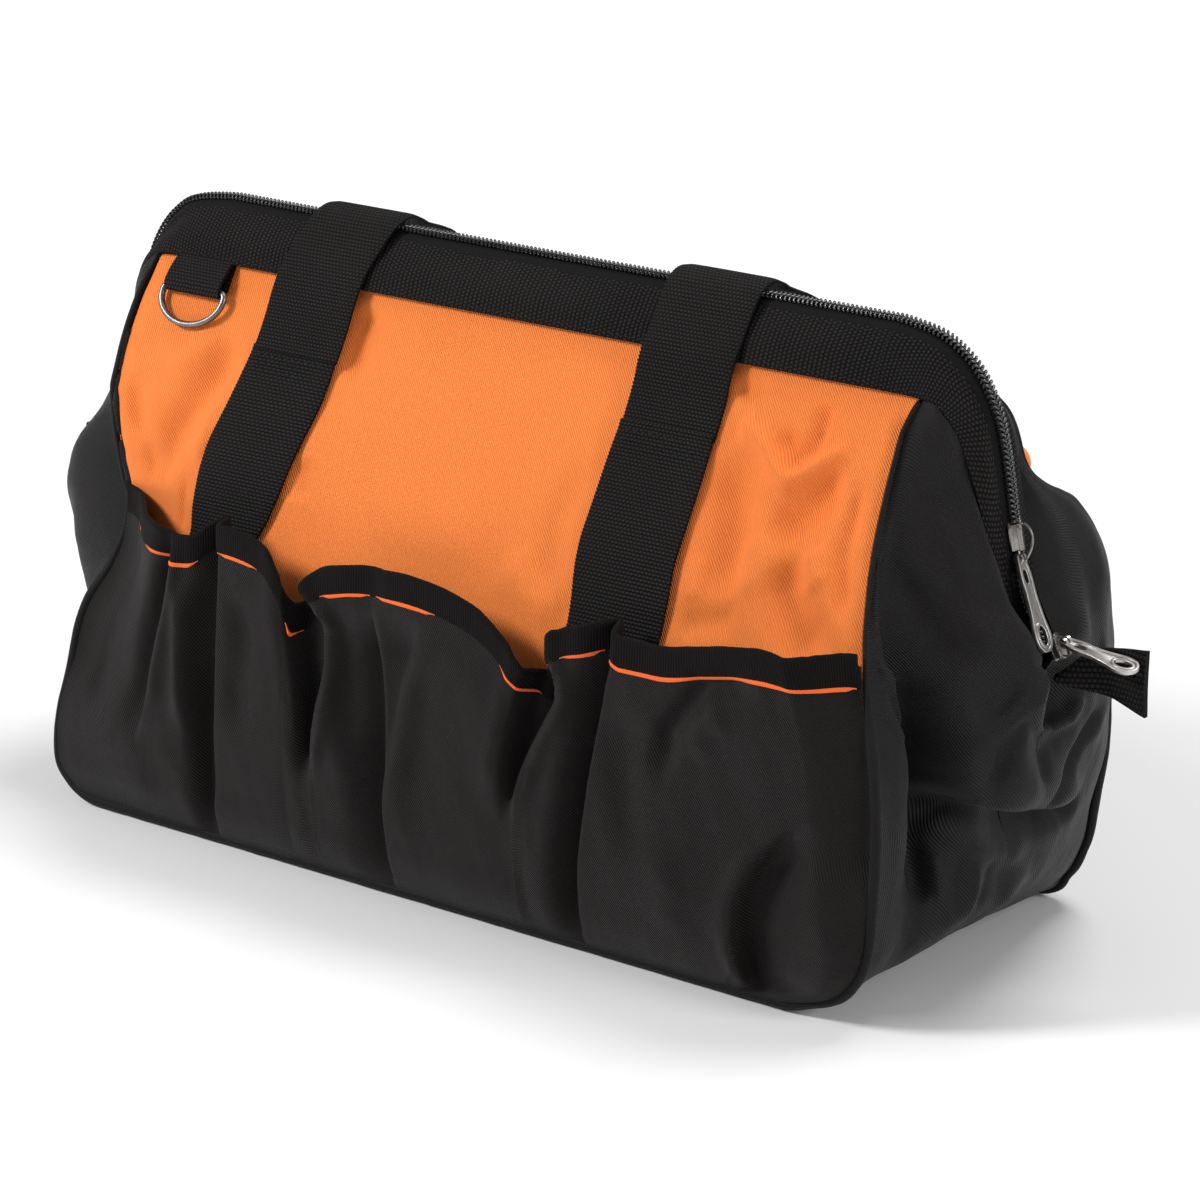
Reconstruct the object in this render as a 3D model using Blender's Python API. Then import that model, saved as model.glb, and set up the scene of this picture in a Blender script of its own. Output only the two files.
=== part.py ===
"""Soft wide-mouth tool bag: box-shaped lower half, leaning upper walls that
meet at a two-slider zip, outside pockets all round the long sides, webbing
handles, and two D-rings.

Frame: X along the bag, Y from the front (-Y) to the back (+Y), Z up.  The
origin is the centre of the base, on the surface that the bag stands on.
Lengths below are in millimetres and are turned into metres when each mesh is
made."""
import math

import bmesh
import bpy

MM = 0.001

# ---- driving dimensions (mm) ------------------------------------------------
HALF_L = 200.0        # half length over the end gussets, at the base
HALF_W = 77.0         # half depth over the front and back panels, at the base
FOLD_Z = 112.0        # height at which the upper walls start to lean in
LEAN = math.radians(29.8)   # lean of the upper walls from vertical, mouth shut
FABRIC = 2.4          # lined and backed wall cloth
BASE_R = 34.0         # radius of the base corners, seen from the front
ZIP_Z = 243.0         # height of the zip's top run
ZIP_END = (226.0, 129.0)    # lower end of the zip on an end gusset: x, z
GAP = 0.3             # gap kept between pieces that touch
EDGE_Y = 73.8         # half width of the gusset strip between the piped edges
PIPE_R = 1.9          # piping cord with its cover
END_BULGE = 26.0      # how far an end gusset stands out at the zip's end
BOARD = 2.5           # base stiffener board
POCKET_X = (-195.5, -108.0, -21.0, 74.0, 195.5)   # seams between the pockets
POCKET_TOP = 118.0
POCKET_Y = 89.2       # outer face of a filled-out pocket
POCKET_VALLEY = 82.3  # outer face at a pocket seam
HEM_TOP = 130.0
STRAP_W = 40.0        # handle webbing
STRAP_X = (-107.0, 77.0)
RING_X = 167.0        # D-ring position, to the left in front and right behind
BAND_T = (124.0, 140.5)     # top band, measured up the leaning wall
SLIDER_AXIS = (-0.1997, 0.0, 0.9799)

SIN, COS = math.sin(LEAN), math.cos(LEAN)
FRONT, BACK = -1, 1

# hinge and pivot points (mm)
FRONT_FOLD = (0.0, -HALF_W, FOLD_Z)
BACK_FOLD = (0.0, HALF_W, FOLD_Z)
FRONT_GRIP_PIVOT = (0.0, -4.2, 247.8)
BACK_GRIP_PIVOT = (0.0, 31.0, 199.6)

for old in list(bpy.data.objects):
    bpy.data.objects.remove(old, do_unlink=True)


# ---- helpers ----------------------------------------------------------------
def material(name, colour, rough, metal=0.0):
    m = bpy.data.materials.new(name)
    m.use_nodes = True
    b = m.node_tree.nodes["Principled BSDF"]
    b.inputs["Base Color"].default_value = (*colour, 1.0)
    b.inputs["Roughness"].default_value = rough
    b.inputs["Metallic"].default_value = metal
    return m


ORANGE = material("orange_cloth", (0.90, 0.17, 0.03), 0.75)
BLACK = material("black_cloth", (0.018, 0.016, 0.016), 0.80)
WEBBING = material("black_webbing", (0.012, 0.011, 0.011), 0.85)
TAPE = material("black_tape", (0.014, 0.013, 0.013), 0.82)
COIL = material("black_coil", (0.010, 0.010, 0.011), 0.35)
STEEL = material("grey_metal", (0.42, 0.42, 0.43), 0.32, 1.0)
BOARDM = material("board", (0.03, 0.03, 0.03), 0.55)


def make(name, verts, faces, mat, pivot=(0.0, 0.0, 0.0), smooth=False):
    """One closed body.  Points are in the bag's frame, in mm; the object's
    origin is put at the pivot."""
    bm = bmesh.new()
    vs = [bm.verts.new([(p[i] - pivot[i]) * MM for i in range(3)]) for p in verts]
    for f in faces:
        bm.faces.new([vs[i] for i in f])
    bmesh.ops.recalc_face_normals(bm, faces=bm.faces)
    me = bpy.data.meshes.new(name)
    bm.to_mesh(me)
    bm.free()
    if smooth:
        me.shade_smooth()
        me.set_sharp_from_angle(angle=math.radians(40))
    ob = bpy.data.objects.new(name, me)
    ob.location = [c * MM for c in pivot]
    ob.data.materials.append(mat)
    bpy.context.scene.collection.objects.link(ob)
    return ob


def wall(s, t, w, side):
    """A point on a leaning wall: s along X, t up the wall from the fold, w
    out of the wall's outer face."""
    y = -HALF_W + t * SIN - w * COS
    z = FOLD_Z + t * COS + w * SIN
    return (s, y if side == FRONT else -y, z)


def loft(name, rings, mat, pivot=(0, 0, 0), closed=False, smooth=False):
    """Rings of points joined one after the other, with end caps unless the
    run closes on itself."""
    n = len(rings[0])
    verts = [p for r in rings for p in r]
    faces = []
    last = len(rings) if closed else len(rings) - 1
    for i in range(last):
        a, b = i * n, ((i + 1) % len(rings)) * n
        for j in range(n):
            k = (j + 1) % n
            faces.append((a + j, a + k, b + k, b + j))
    if not closed:
        faces.append(tuple(range(n - 1, -1, -1)))
        faces.append(tuple((len(rings) - 1) * n + j for j in range(n)))
    return make(name, verts, faces, mat, pivot, smooth)


def arc(cx, cz, r, a0, a1, n):
    return [(cx + r * math.cos(math.radians(a0 + (a1 - a0) * i / n)),
             cz + r * math.sin(math.radians(a0 + (a1 - a0) * i / n)))
            for i in range(n + 1)]


def shell(name, surf, nu, nv, thick, mat, pivot=(0, 0, 0), flip=1):
    """A sheet of even thickness whose outer face is surf(u, v)."""
    def sub(a, b):
        return [a[i] - b[i] for i in range(3)]

    def cross(a, b):
        return [a[1] * b[2] - a[2] * b[1], a[2] * b[0] - a[0] * b[2],
                a[0] * b[1] - a[1] * b[0]]

    outer, inner = [], []
    e = 1e-3
    for j in range(nv + 1):
        for i in range(nu + 1):
            u, v = i / nu, j / nv
            p = surf(u, v)
            du = sub(surf(min(u + e, 1), v), surf(max(u - e, 0), v))
            dv = sub(surf(u, min(v + e, 1)), surf(u, max(v - e, 0)))
            n = cross(du, dv)
            m = math.sqrt(sum(c * c for c in n))
            outer.append(p)
            inner.append([p[k] - flip * thick * n[k] / m for k in range(3)])
    row = nu + 1
    faces = []
    total = row * (nv + 1)
    for j in range(nv):
        for i in range(nu):
            a = j * row + i
            faces.append((a, a + 1, a + row + 1, a + row))
            faces.append((total + a, total + a + row, total + a + row + 1, total + a + 1))
    for i in range(nu):
        for a, b in ((i, i + 1), (nv * row + i + 1, nv * row + i)):
            faces.append((b, a, total + a, total + b))
    for j in range(nv):
        for a, b in (((j + 1) * row, j * row), (j * row + nu, (j + 1) * row + nu)):
            faces.append((b, a, total + a, total + b))
    return make(name, outer + inner, faces, mat, pivot, smooth=True)


def smooth_step(x):
    x = min(max(x, 0.0), 1.0)
    return x * x * (3 - 2 * x)


def catmull(points, steps):
    """A smooth curve through points; steps[i] is the number of spans made of
    the stretch after points[i]."""
    out = []
    pts = [points[0]] + list(points) + [points[-1]]
    for i in range(1, len(pts) - 2):
        p0, p1, p2, p3 = pts[i - 1], pts[i], pts[i + 1], pts[i + 2]
        n = steps[i - 1]
        for k in range(n):
            f = k / n
            out.append(tuple(
                0.5 * (2 * p1[c] + (p2[c] - p0[c]) * f
                       + (2 * p0[c] - 5 * p1[c] + 4 * p2[c] - p3[c]) * f * f
                       + (3 * p1[c] - p0[c] - 3 * p2[c] + p3[c]) * f ** 3)
                for c in range(len(p1))))
    out.append(tuple(points[-1]))
    return out


# ---- end gussets ------------------------------------------------------------
def bulge(y, z):
    return END_BULGE * smooth_step(z / 125.0) * (1 - (abs(y) / EDGE_Y) ** 2.2)


def fold_height(y):
    """Height of the line where an end gusset's moving halves begin."""
    return ZIP_END[1] - (ZIP_END[1] - FOLD_Z) * min(abs(y) / EDGE_Y, 1.0)


def lower_gusset(name, sx):
    """The end of the gusset strip, from the base up to the fold."""
    cx = HALF_L - BASE_R
    steps = ([(cx + 0.4 + 0.0, 0.0)]
             + arc(cx, BASE_R, BASE_R, -72, 0, 4))

    def surf(u, v):
        y = -EDGE_Y + 2 * EDGE_Y * u
        k = v * 10
        if k <= 5:
            a = min(int(k), 4)
            f = k - a
            x = steps[a][0] * (1 - f) + steps[a + 1][0] * f
            z = steps[a][1] * (1 - f) + steps[a + 1][1] * f
        else:
            top = fold_height(y) - 1.3
            x = HALF_L
            z = BASE_R + (top - BASE_R) * (k - 5) / 5
        return (sx * (x + bulge(y, z)), y, z)
    return shell(name, surf, 8, 10, FABRIC, BLACK, flip=sx)


def side_edge(t):
    """Half length of a leaning wall at t: it draws in above the fold."""
    knots = ((0, 199.0), (34, 187.0), (62, 179.0), (88, 176.5), (126, 180.0))
    for (a, xa), (b, xb) in zip(knots, knots[1:]):
        if t <= b:
            f = (t - a) / (b - a)
            return xa + (xb - xa) * smooth_step(f)
    return knots[-1][1]


def leg_x(z):
    """The zip leg's distance from the middle, by height."""
    knots = ((129.0, 226.0), (150.0, 214.5), (203.0, 203.7), (222.0, 195.0),
             (230.0, 189.0))
    for (a, xa), (b, xb) in zip(knots, knots[1:]):
        if z <= b:
            return xa + (xb - xa) * (z - a) / (b - a)
    return knots[-1][1]


def upper_gusset(name, sx, side):
    """Half of an end gusset's upper part, between a wall's edge and the zip."""
    def surf(u, v):
        t = 2.6 + (121.0 - 2.6) * v
        ax, ay, az = wall(side_edge(t) + 0.6, t, -3.3, FRONT)
        bz = 128.6 + (222.0 - 128.6) * v
        by = -9.2 - 5.2 * smooth_step(v / 0.35)
        bx = leg_x(bz) - 0.4
        x = ax + (bx - ax) * u
        y = ay + (by - ay) * u
        z = az + (bz - az) * u
        if v < 1:
            x0 = HALF_L + bulge(ay + (by - ay) * u, 124.0)
            lin = 199.6 + (leg_x(129.6) - 0.4 - 199.6) * u
            x += (x0 - lin) * (1 - v)
        x += 5.0 * math.sin(math.pi * u) * math.sin(math.pi * v)
        return (sx * x, y if side == FRONT else -y, z)
    piv = FRONT_FOLD if side == FRONT else BACK_FOLD
    return shell(name, surf, 5, 7, 2.0, BLACK, piv, flip=-sx * side)


lower_gusset("gusset_lower_right", 1)
lower_gusset("gusset_lower_left", -1)
upper_gusset("gusset_upper_front_right", 1, FRONT)
upper_gusset("gusset_upper_front_left", -1, FRONT)
upper_gusset("gusset_upper_back_right", 1, BACK)
upper_gusset("gusset_upper_back_left", -1, BACK)

# ---- base -------------------------------------------------------------------
flat = HALF_L - BASE_R - 0.1


def slab(name, x0, x1, y0, y1, z0, z1, mat):
    rings = [[(x, y0, z0), (x, y1, z0), (x, y1, z1), (x, y0, z1)] for x in (x0, x1)]
    return loft(name, rings, mat)


slab("base_panel", -flat, flat, -EDGE_Y, EDGE_Y, 0.0, FABRIC, BLACK)
slab("base_board", -flat + 5, flat - 5, -EDGE_Y + 2.5, EDGE_Y - 2.5,
     FABRIC + GAP, FABRIC + GAP + BOARD, BOARDM)


# ---- long walls -------------------------------------------------------------
def lower_panel(name, side):
    half = HALF_L - 4.3
    low = 4.3
    r = BASE_R - 4.3
    outline = (arc(half - r, low + r, r, -90, 0, 5)
               + [(half, FOLD_Z - 0.4), (-half, FOLD_Z - 0.4)]
               + [(-x, z) for x, z in reversed(arc(half - r, low + r, r, -90, 0, 5))])
    y0, y1 = HALF_W * side, (HALF_W - FABRIC) * side
    return loft(name, [[(x, y, z) for x, z in outline] for y in (y0, y1)], BLACK)


def upper_panel(name, side):
    ts = [1.4, 17, 34, 48, 62, 75, 88, 107, BAND_T[0] - 0.4]
    outline = [(side_edge(t), t) for t in ts] + [(-side_edge(t), t) for t in reversed(ts)]
    piv = FRONT_FOLD if side == FRONT else BACK_FOLD
    return loft(name, [[wall(s, t, w, side) for s, t in outline] for w in (0.0, -FABRIC)],
                ORANGE, piv)


def piping(name, side):
    """Corded edge round the lower half of a long wall."""
    cx, r = HALF_L - BASE_R, BASE_R - PIPE_R
    half = ([(HALF_L - PIPE_R, FOLD_Z - 1.0)]
            + [p for p in reversed(arc(cx, BASE_R, r, -90, 0, 6))])
    path = half + [(-x, z) for x, z in reversed(half)]
    yc = (HALF_W - PIPE_R + 0.9) * side
    rings = []
    n = 8
    for i, (x, z) in enumerate(path):
        a = path[max(i - 1, 0)]
        b = path[min(i + 1, len(path) - 1)]
        tx, tz = b[0] - a[0], b[1] - a[1]
        m = math.hypot(tx, tz)
        nx, nz = -tz / m, tx / m
        rings.append([(x + PIPE_R * math.cos(2 * math.pi * k / n) * nx,
                       yc + PIPE_R * math.sin(2 * math.pi * k / n),
                       z + PIPE_R * math.cos(2 * math.pi * k / n) * nz)
                      for k in range(n)])
    return loft(name, rings, BLACK, smooth=True)


for word, side in (("front", FRONT), ("back", BACK)):
    lower_panel(word + "_lower_panel", side)
    upper_panel(word + "_upper_panel", side)
    piping(word + "_piping", side)


# ---- pockets ----------------------------------------------------------------
def pocket(name, a, b, side):
    """A pleated pocket: outer sheet, and a floor back to the wall."""
    a, b = a + 0.2, b - 0.2
    zt, th = POCKET_TOP, 1.6
    wall_y = HALF_W + GAP
    corner, r = HALF_L - BASE_R, BASE_R - 2 * PIPE_R - 0.5
    stops = [(a, POCKET_VALLEY, 0.0), (a + 14, POCKET_Y, 0.8),
             ((a + b) / 2, POCKET_Y, 0.0),
             (b - 14, POCKET_Y, -0.8), (b, POCKET_VALLEY, 0.0)]
    if b > corner:
        stops[3:4] = [(corner, POCKET_Y, 0.0), stops[3], (b - 5, 84.8, -0.3)]
    if a < -corner:
        stops[1:2] = [(a + 5, 84.8, 0.3), stops[1], (-corner, POCKET_Y, 0.0)]
    rings = []
    for x, out, dx in stops:
        over = abs(x) - corner
        zb = 4.6 if over <= 0 else BASE_R - math.sqrt(max(r * r - over * over, 0.0)) + 0.4
        xi, yi = x + dx, out - th
        rings.append([(x, side * out, zb), (x, side * out, zt),
                      (xi, side * yi, zt), (xi, side * yi, zb + 1.8),
                      (xi, side * wall_y, zb + 1.8), (xi, side * wall_y, zb)])
    return loft(name, rings, BLACK)


def along_pockets(name, inner, outer, z0, z1, side, mat):
    """A strip that follows the pockets' outline in plan."""
    rings = []
    for i in range(4):
        a, b = POCKET_X[i], POCKET_X[i + 1]
        xs = [(a if i == 0 else None, 0), (a + 14, 1), (b - 14, 1), (b, 0)]
        for x, high in xs:
            if x is None:
                continue
            base = POCKET_Y if high else POCKET_VALLEY
            rings.append([(x, side * (base + inner), z0), (x, side * (base + outer), z0),
                          (x, side * (base + outer), z1), (x, side * (base + inner), z1)])
    return loft(name, rings, mat)


for word, side in (("front", FRONT), ("back", BACK)):
    for i in range(4):
        pocket("%s_pocket_%d" % (word, i + 1), POCKET_X[i], POCKET_X[i + 1], side)
    along_pockets(word + "_pocket_binding", -1.6, 0.7, POCKET_TOP + GAP, HEM_TOP, side, TAPE)
    along_pockets(word + "_pocket_trim", 0.35, 1.05, 114.6, 116.6, side, ORANGE)


# ---- top band, frame wire, zip ----------------------------------------------
def top_band(name, side):
    """Sleeve of ribbed tape folded over the frame wire, open underneath."""
    t0, t1 = BAND_T
    prof = [(t0, 2.7), (t1, 2.7), (t1, -5.1), (t0, -5.1), (t0, -3.4), (t1 - 2, -3.4),
            (t1 - 2, 1.0), (t0, 1.0)]
    piv = FRONT_FOLD if side == FRONT else BACK_FOLD
    return loft(name, [[wall(s, t, w, side) for t, w in prof] for s in (-157.0, 157.0)],
                TAPE, piv)


ZIP_KNOTS = [(225.0, 131.2), (214.5, 150.0), (203.7, 203.0), (194.0, 226.5),
             (176.0, 240.0), (158.0, ZIP_Z), (0.0, ZIP_Z)]
half_zip = catmull(ZIP_KNOTS, [2, 3, 3, 3, 2, 1])
ZIP_PATH = half_zip + [(-x, z) for x, z in reversed(half_zip[:-1])]


def zip_frames():
    out = []
    for i, (x, z) in enumerate(ZIP_PATH):
        a = ZIP_PATH[max(i - 1, 0)]
        b = ZIP_PATH[min(i + 1, len(ZIP_PATH) - 1)]
        tx, tz = b[0] - a[0], b[1] - a[1]
        m = math.hypot(tx, tz)
        # outward normal of the run, in the XZ plane
        out.append((x, z, tz / m, -tx / m, min(abs(-tx / m), 1.0)))
    return out


def zip_coil(name, side):
    """One half of the zip's coil.  It stops at the lower slider."""
    r, yc, n = 1.4, 1.85 * side, 6
    rings = []
    for x, z, nx, nz, _ in zip_frames()[1:-1]:
        rings.append([(x + r * math.cos(2 * math.pi * k / n) * nx,
                       yc + r * math.sin(2 * math.pi * k / n),
                       z + r * math.cos(2 * math.pi * k / n) * nz) for k in range(n)])
    piv = FRONT_FOLD if side == FRONT else BACK_FOLD
    return loft(name, rings, COIL, piv, smooth=True)


def zip_tape(name, side):
    """The woven tape beside the coil: down the wall along the top, out to the
    side on the end gussets."""
    rings = []
    for x, z, nx, nz, up in zip_frames():
        f = smooth_step((up - 0.35) / 0.55)
        e = (-1.8 - 6.4 * f, -(11.9 - 4.3 * f))
        s = (-1.8, -3.9)
        dx, dy = e[0] - s[0], e[1] - s[1]
        m = math.hypot(dx, dy)
        ox, oy = -dy / m * 0.9, dx / m * 0.9
        pts = [s, e, (e[0] - ox, e[1] - oy), (s[0] - ox, s[1] - oy)]
        low = smooth_step((z - 131.0) / 30.0)
        rings.append([(x + a * nx, -side * (b if abs(b) < 6 else -6 + (b + 6) * (0.3 + 0.7 * low)),
                       z + a * nz) for a, b in pts])
    piv = FRONT_FOLD if side == FRONT else BACK_FOLD
    return loft(name, rings, TAPE, piv)


def frame_wire(name, side):
    """Spring-steel frame: along the top inside the band, and down each end."""
    r, n = 1.8, 8
    knots = [(196.0, 6.0, 168.0), (194.0, 6.0, 190.0), (190.0, 7.4, 208.0),
             (183.5, 10.9, 220.5), (174.0, 10.7, 225.4), (162.0, 9.6, 227.2),
             (145.0, 9.6, 227.2), (0.0, 9.6, 227.2)]
    half = catmull(knots, [1, 2, 2, 2, 2, 1, 1])
    path = half + [(-x, y, z) for x, y, z in reversed(half[:-1])]
    rings = []
    for i, (x, y, z) in enumerate(path):
        a = path[max(i - 1, 0)]
        b = path[min(i + 1, len(path) - 1)]
        tx, tz = b[0] - a[0], b[2] - a[2]
        m = math.hypot(tx, tz)
        nx, nz = tz / m, -tx / m
        rings.append([(x + r * math.cos(2 * math.pi * k / n) * nx,
                       side * (y + r * math.sin(2 * math.pi * k / n)),
                       z + r * math.cos(2 * math.pi * k / n) * nz) for k in range(n)])
    piv = FRONT_FOLD if side == FRONT else BACK_FOLD
    return loft(name, rings, STEEL, piv, smooth=True)


for word, side in (("front", FRONT), ("back", BACK)):
    top_band(word + "_top_band", side)
    frame_wire(word + "_frame_wire", side)
    zip_tape(word + "_zip_tape", side)
    zip_coil(word + "_zip_coil", side)


def zip_tail(name, sx):
    """Folded tape tab that the zip's lower end runs into."""
    out = [(227.2, 107.0), (262.0, 108.0), (262.0, 126.0), (235.4, 126.0), (235.4, 120.8),
           (227.2, 120.8)]
    return loft(name, [[(sx * x, y, z) for x, z in out] for y in (-0.4, 4.0)], TAPE)


zip_tail("zip_tail_right", 1)
zip_tail("zip_tail_left", -1)


# ---- zip sliders and pulls --------------------------------------------------
def frame_of(sections, name, mat, pivot):
    """A picture-frame solid: (outer, inner) loops at each of two depths."""
    n = len(sections[0][0])
    verts = [p for outer, inner in sections for p in outer + inner]
    faces = []
    for k in range(n):
        m = (k + 1) % n
        faces += [(k, m, n + m, n + k), (2 * n + m, 2 * n + k, 3 * n + k, 3 * n + m),
                  (m, k, 2 * n + k, 2 * n + m), (n + k, n + m, 3 * n + m, 3 * n + k)]
    return make(name, verts, faces, mat, pivot)


def join(body, tool):
    tool.hide_render = True
    tool.display_type = "WIRE"
    mod = body.modifiers.new("join", "BOOLEAN")
    mod.operation = "UNION"
    mod.object = tool


def slider(name, centre, axis, y_mid):
    """Slider body with a staple that carries the pull.  axis runs up the zip
    in the XZ plane; the outside face looks away from the bag."""
    ax, az = axis[0], axis[2]
    ox, oz = az, -ax

    def at(a, o, y):
        return (centre[0] + a * ax + o * ox, y_mid + y, centre[1] + a * az + o * oz)
    piv = (centre[0], y_mid, centre[1])
    plan = [(-6.5, -3.4), (-3.0, -5.0), (3.0, -5.0), (6.5, -4.2), (7.2, 0.0), (6.5, 4.2),
            (3.0, 5.0), (-3.0, 5.0), (-6.5, 3.4)]
    body = loft(name, [[at(a, o, y) for a, y in plan] for o in (2.2, 3.8)], STEEL, piv)
    outer = [(-3.3, 3.3), (3.3, 3.3), (3.3, 6.8), (-3.3, 6.8)]
    inner = [(-1.9, 3.5), (1.9, 3.5), (1.9, 5.4), (-1.9, 5.4)]
    staple = frame_of([([at(a, o, y) for y, o in outer], [at(a, o, y) for y, o in inner])
                       for a in (-5.45, -4.05)], name + "_staple", STEEL, piv)
    join(body, staple)


def pull(name, hinge, d, across, length):
    """Flat pull whose rolled eye turns on the slider's staple."""
    nrm = [d[1] * across[2] - d[2] * across[1], d[2] * across[0] - d[0] * across[2],
           d[0] * across[1] - d[1] * across[0]]

    def at(l, q, h):
        return tuple(hinge[i] + l * d[i] + q * across[i] + h * nrm[i] for i in range(3))
    half = [(1.75, 1.5), (4.2, 1.5), (6.5, 3.2), (14.0, 2.6), (length - 10, 3.2),
            (length - 3.5, 4.4), (length, 3.0)]
    outline = half + [(l, -q) for l, q in reversed(half)]
    plate = loft(name, [[at(l, q, h) for l, q in outline] for h in (-0.75, 0.75)], STEEL, hinge)
    ring = [(math.cos(math.radians(30 * k + 15)), math.sin(math.radians(30 * k + 15)))
            for k in range(12)]
    eye = frame_of([([at(2.1 * c, q, 2.1 * e) for c, e in ring],
                     [at(1.35 * c, q, 1.35 * e) for c, e in ring]) for q in (-1.45, 1.45)],
                   name + "_eye", STEEL, hinge)
    join(plate, eye)


def unit(v):
    m = math.sqrt(sum(c * c for c in v))
    return tuple(c / m for c in v)


def staple_axis(centre, axis, y):
    """Middle of a slider's staple."""
    return (centre[0] - 4.75 * axis[0] + 6.1 * axis[2], y,
            centre[1] - 4.75 * axis[2] - 6.1 * axis[0])


UPPER_CENTRE = (210.3, 171.0)
UPPER_HINGE = staple_axis(UPPER_CENTRE, SLIDER_AXIS, 0.0)
slider("slider_upper", UPPER_CENTRE, SLIDER_AXIS, 0.0)
UPPER_DIR = unit((0.385, -0.205, -0.900))
UPPER_PIN = unit([(1.0 if i == 1 else 0.0) - UPPER_DIR[1] * UPPER_DIR[i] for i in range(3)])
pull("pull_upper", UPPER_HINGE, UPPER_DIR, UPPER_PIN, 33.0)

LOW_AXIS = unit((-0.488, 0.0, 0.873))
LOWER_CENTRE = (226.5, 130.0)
LOWER_HINGE = staple_axis(LOWER_CENTRE, LOW_AXIS, 4.2)
slider("slider_lower", LOWER_CENTRE, LOW_AXIS, 4.2)
pull("pull_lower", LOWER_HINGE, unit((1.0, 0.0, 0.05)), (0.0, 1.0, 0.0), 31.0)


# ---- webbing handles --------------------------------------------------------
def strap(name, x, side, t_top):
    """Webbing sewn flat to the wall, stepping out over the band."""
    if t_top > 130:
        prof = [(3, 0.4), (111, 0.4), (120, 3.2), (t_top, 3.2), (t_top, 5.6), (119, 5.6),
                (110, 2.8), (3, 2.8)]
    else:
        prof = [(3, 0.4), (t_top, 0.4), (t_top, 2.8), (3, 2.8)]
    piv = FRONT_FOLD if side == FRONT else BACK_FOLD
    return loft(name, [[wall(s, t, w, side) for t, w in prof]
                       for s in (x - STRAP_W / 2, x + STRAP_W / 2)], WEBBING, piv)


def handle(name, path, reach, pivot):
    """A loop of webbing.  path is its run in the YZ plane, measured by
    length; the loop turns across the bag at its far end."""
    lengths = [0.0]
    for a, b in zip(path, path[1:]):
        lengths.append(lengths[-1] + math.hypot(b[0] - a[0], b[1] - a[1]))

    def on(x, l, h):
        i = 0
        while i < len(path) - 2 and l > lengths[i + 1]:
            i += 1
        a, b = path[i], path[i + 1]
        m = lengths[i + 1] - lengths[i]
        f = (l - lengths[i]) / m
        dy, dz = (b[0] - a[0]) / m, (b[1] - a[1]) / m
        ny, nz = -dz, dy
        if 0 < i and f < 1e-6:
            p = path[i - 1]
            k = lengths[i] - lengths[i - 1]
            ny, nz = ny - (a[1] - p[1]) / k, nz + (a[0] - p[0]) / k
            k = (ny * ny + nz * nz) / 2
            ny, nz = ny / k, nz / k
        return (x, a[0] + (b[0] - a[0]) * f + ny * h, a[1] + (b[1] - a[1]) * f + nz * h)

    xa, xb = STRAP_X
    o, c = STRAP_W / 2, 52.0
    stations = []
    stops = [l for l in lengths if l < reach - c - 1] + [reach - c]
    for l in stops:
        stations.append(((xa + o, l), (xa - o, l)))
    for k in range(1, 7):
        a = math.radians(15 * k)
        cx, cl = xa - o + c, reach - c
        ri = c - STRAP_W
        stations.append(((cx - ri * math.cos(a), cl + ri * math.sin(a)),
                         (cx - c * math.cos(a), cl + c * math.sin(a))))
    right = [((xa + xb - i[0], i[1]), (xa + xb - e[0], e[1])) for i, e in reversed(stations)]
    rings = []
    for inner, outer in stations + right:
        rings.append([on(*inner, 1.2), on(*outer, 1.2), on(*outer, -1.2), on(*inner, -1.2)])
    return loft(name, rings, WEBBING, pivot)


for i, word in enumerate(("left", "right")):
    strap("front_strap_" + word, STRAP_X[i], FRONT, 151.5)
    strap("back_strap_" + word, STRAP_X[i], BACK, 95.0)

fall = math.radians(40)
start = (17.0, 248.4)
front_path = [(-3.4, 249.6), (0.2, 252.0), (6.0, 253.2), (12.0, 251.8), start,
              (start[0] + 120 * math.cos(fall), start[1] - 120 * math.sin(fall))]
handle("front_handle", front_path, 132.0, FRONT_GRIP_PIVOT)
back_path = [(31.2, 199.6), (36.8, 198.6), (41.8, 195.4),
             (41.8 + 160 * 0.64, 195.4 - 160 * 0.768)]
handle("back_handle", back_path, 160.0, BACK_GRIP_PIVOT)


# ---- D-rings ----------------------------------------------------------------
def ring_loop(name, x, side):
    """Short webbing tab folded round a D-ring's bar."""
    prof = [(123.5, 6.3), (123.5, 4.9), (112.6, 4.9)]
    prof += [(110.6 + 1.7 * math.cos(a), 3.3 + 1.6 * math.sin(a))
             for a in [math.radians(90 + 30 * k) for k in range(1, 6)]]
    prof += [(112.6, 1.7), (123.5, 1.7), (123.5, 0.4), (110.6, 0.4)]
    prof += [(110.6 + 3.1 * math.cos(a), 3.35 + 2.95 * math.sin(a))
             for a in [math.radians(270 - 30 * k) for k in range(1, 6)]]
    prof += [(110.6, 6.3)]
    piv = FRONT_FOLD if side == FRONT else BACK_FOLD
    return loft(name, [[wall(s, t, w, side) for t, w in prof] for s in (x - 14.5, x + 14.5)],
                WEBBING, piv)


def d_ring(name, x, side):
    r, n = 1.25, 6
    path = [(-16.2, 0.0), (0.0, 0.0), (16.2, 0.0)]
    path += [(16.2 * math.cos(a), -5.5 - 16.2 * math.sin(a) * 1.02)
             for a in [math.radians(18 * k) for k in range(0, 11)]]
    rings = []
    m = len(path)
    for i, (s, t) in enumerate(path):
        a, b = path[i - 1], path[(i + 1) % m]
        ts, tt = b[0] - a[0], b[1] - a[1]
        q = math.hypot(ts, tt)
        ns, nt = -tt / q, ts / q
        rings.append([wall(x + s + r * math.cos(2 * math.pi * k / n) * ns,
                           110.7 + t + r * math.cos(2 * math.pi * k / n) * nt,
                           3.3 + r * math.sin(2 * math.pi * k / n), side) for k in range(n)])
    return loft(name, rings, STEEL, wall(x, 110.7, 3.3, side), closed=True, smooth=True)


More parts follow.
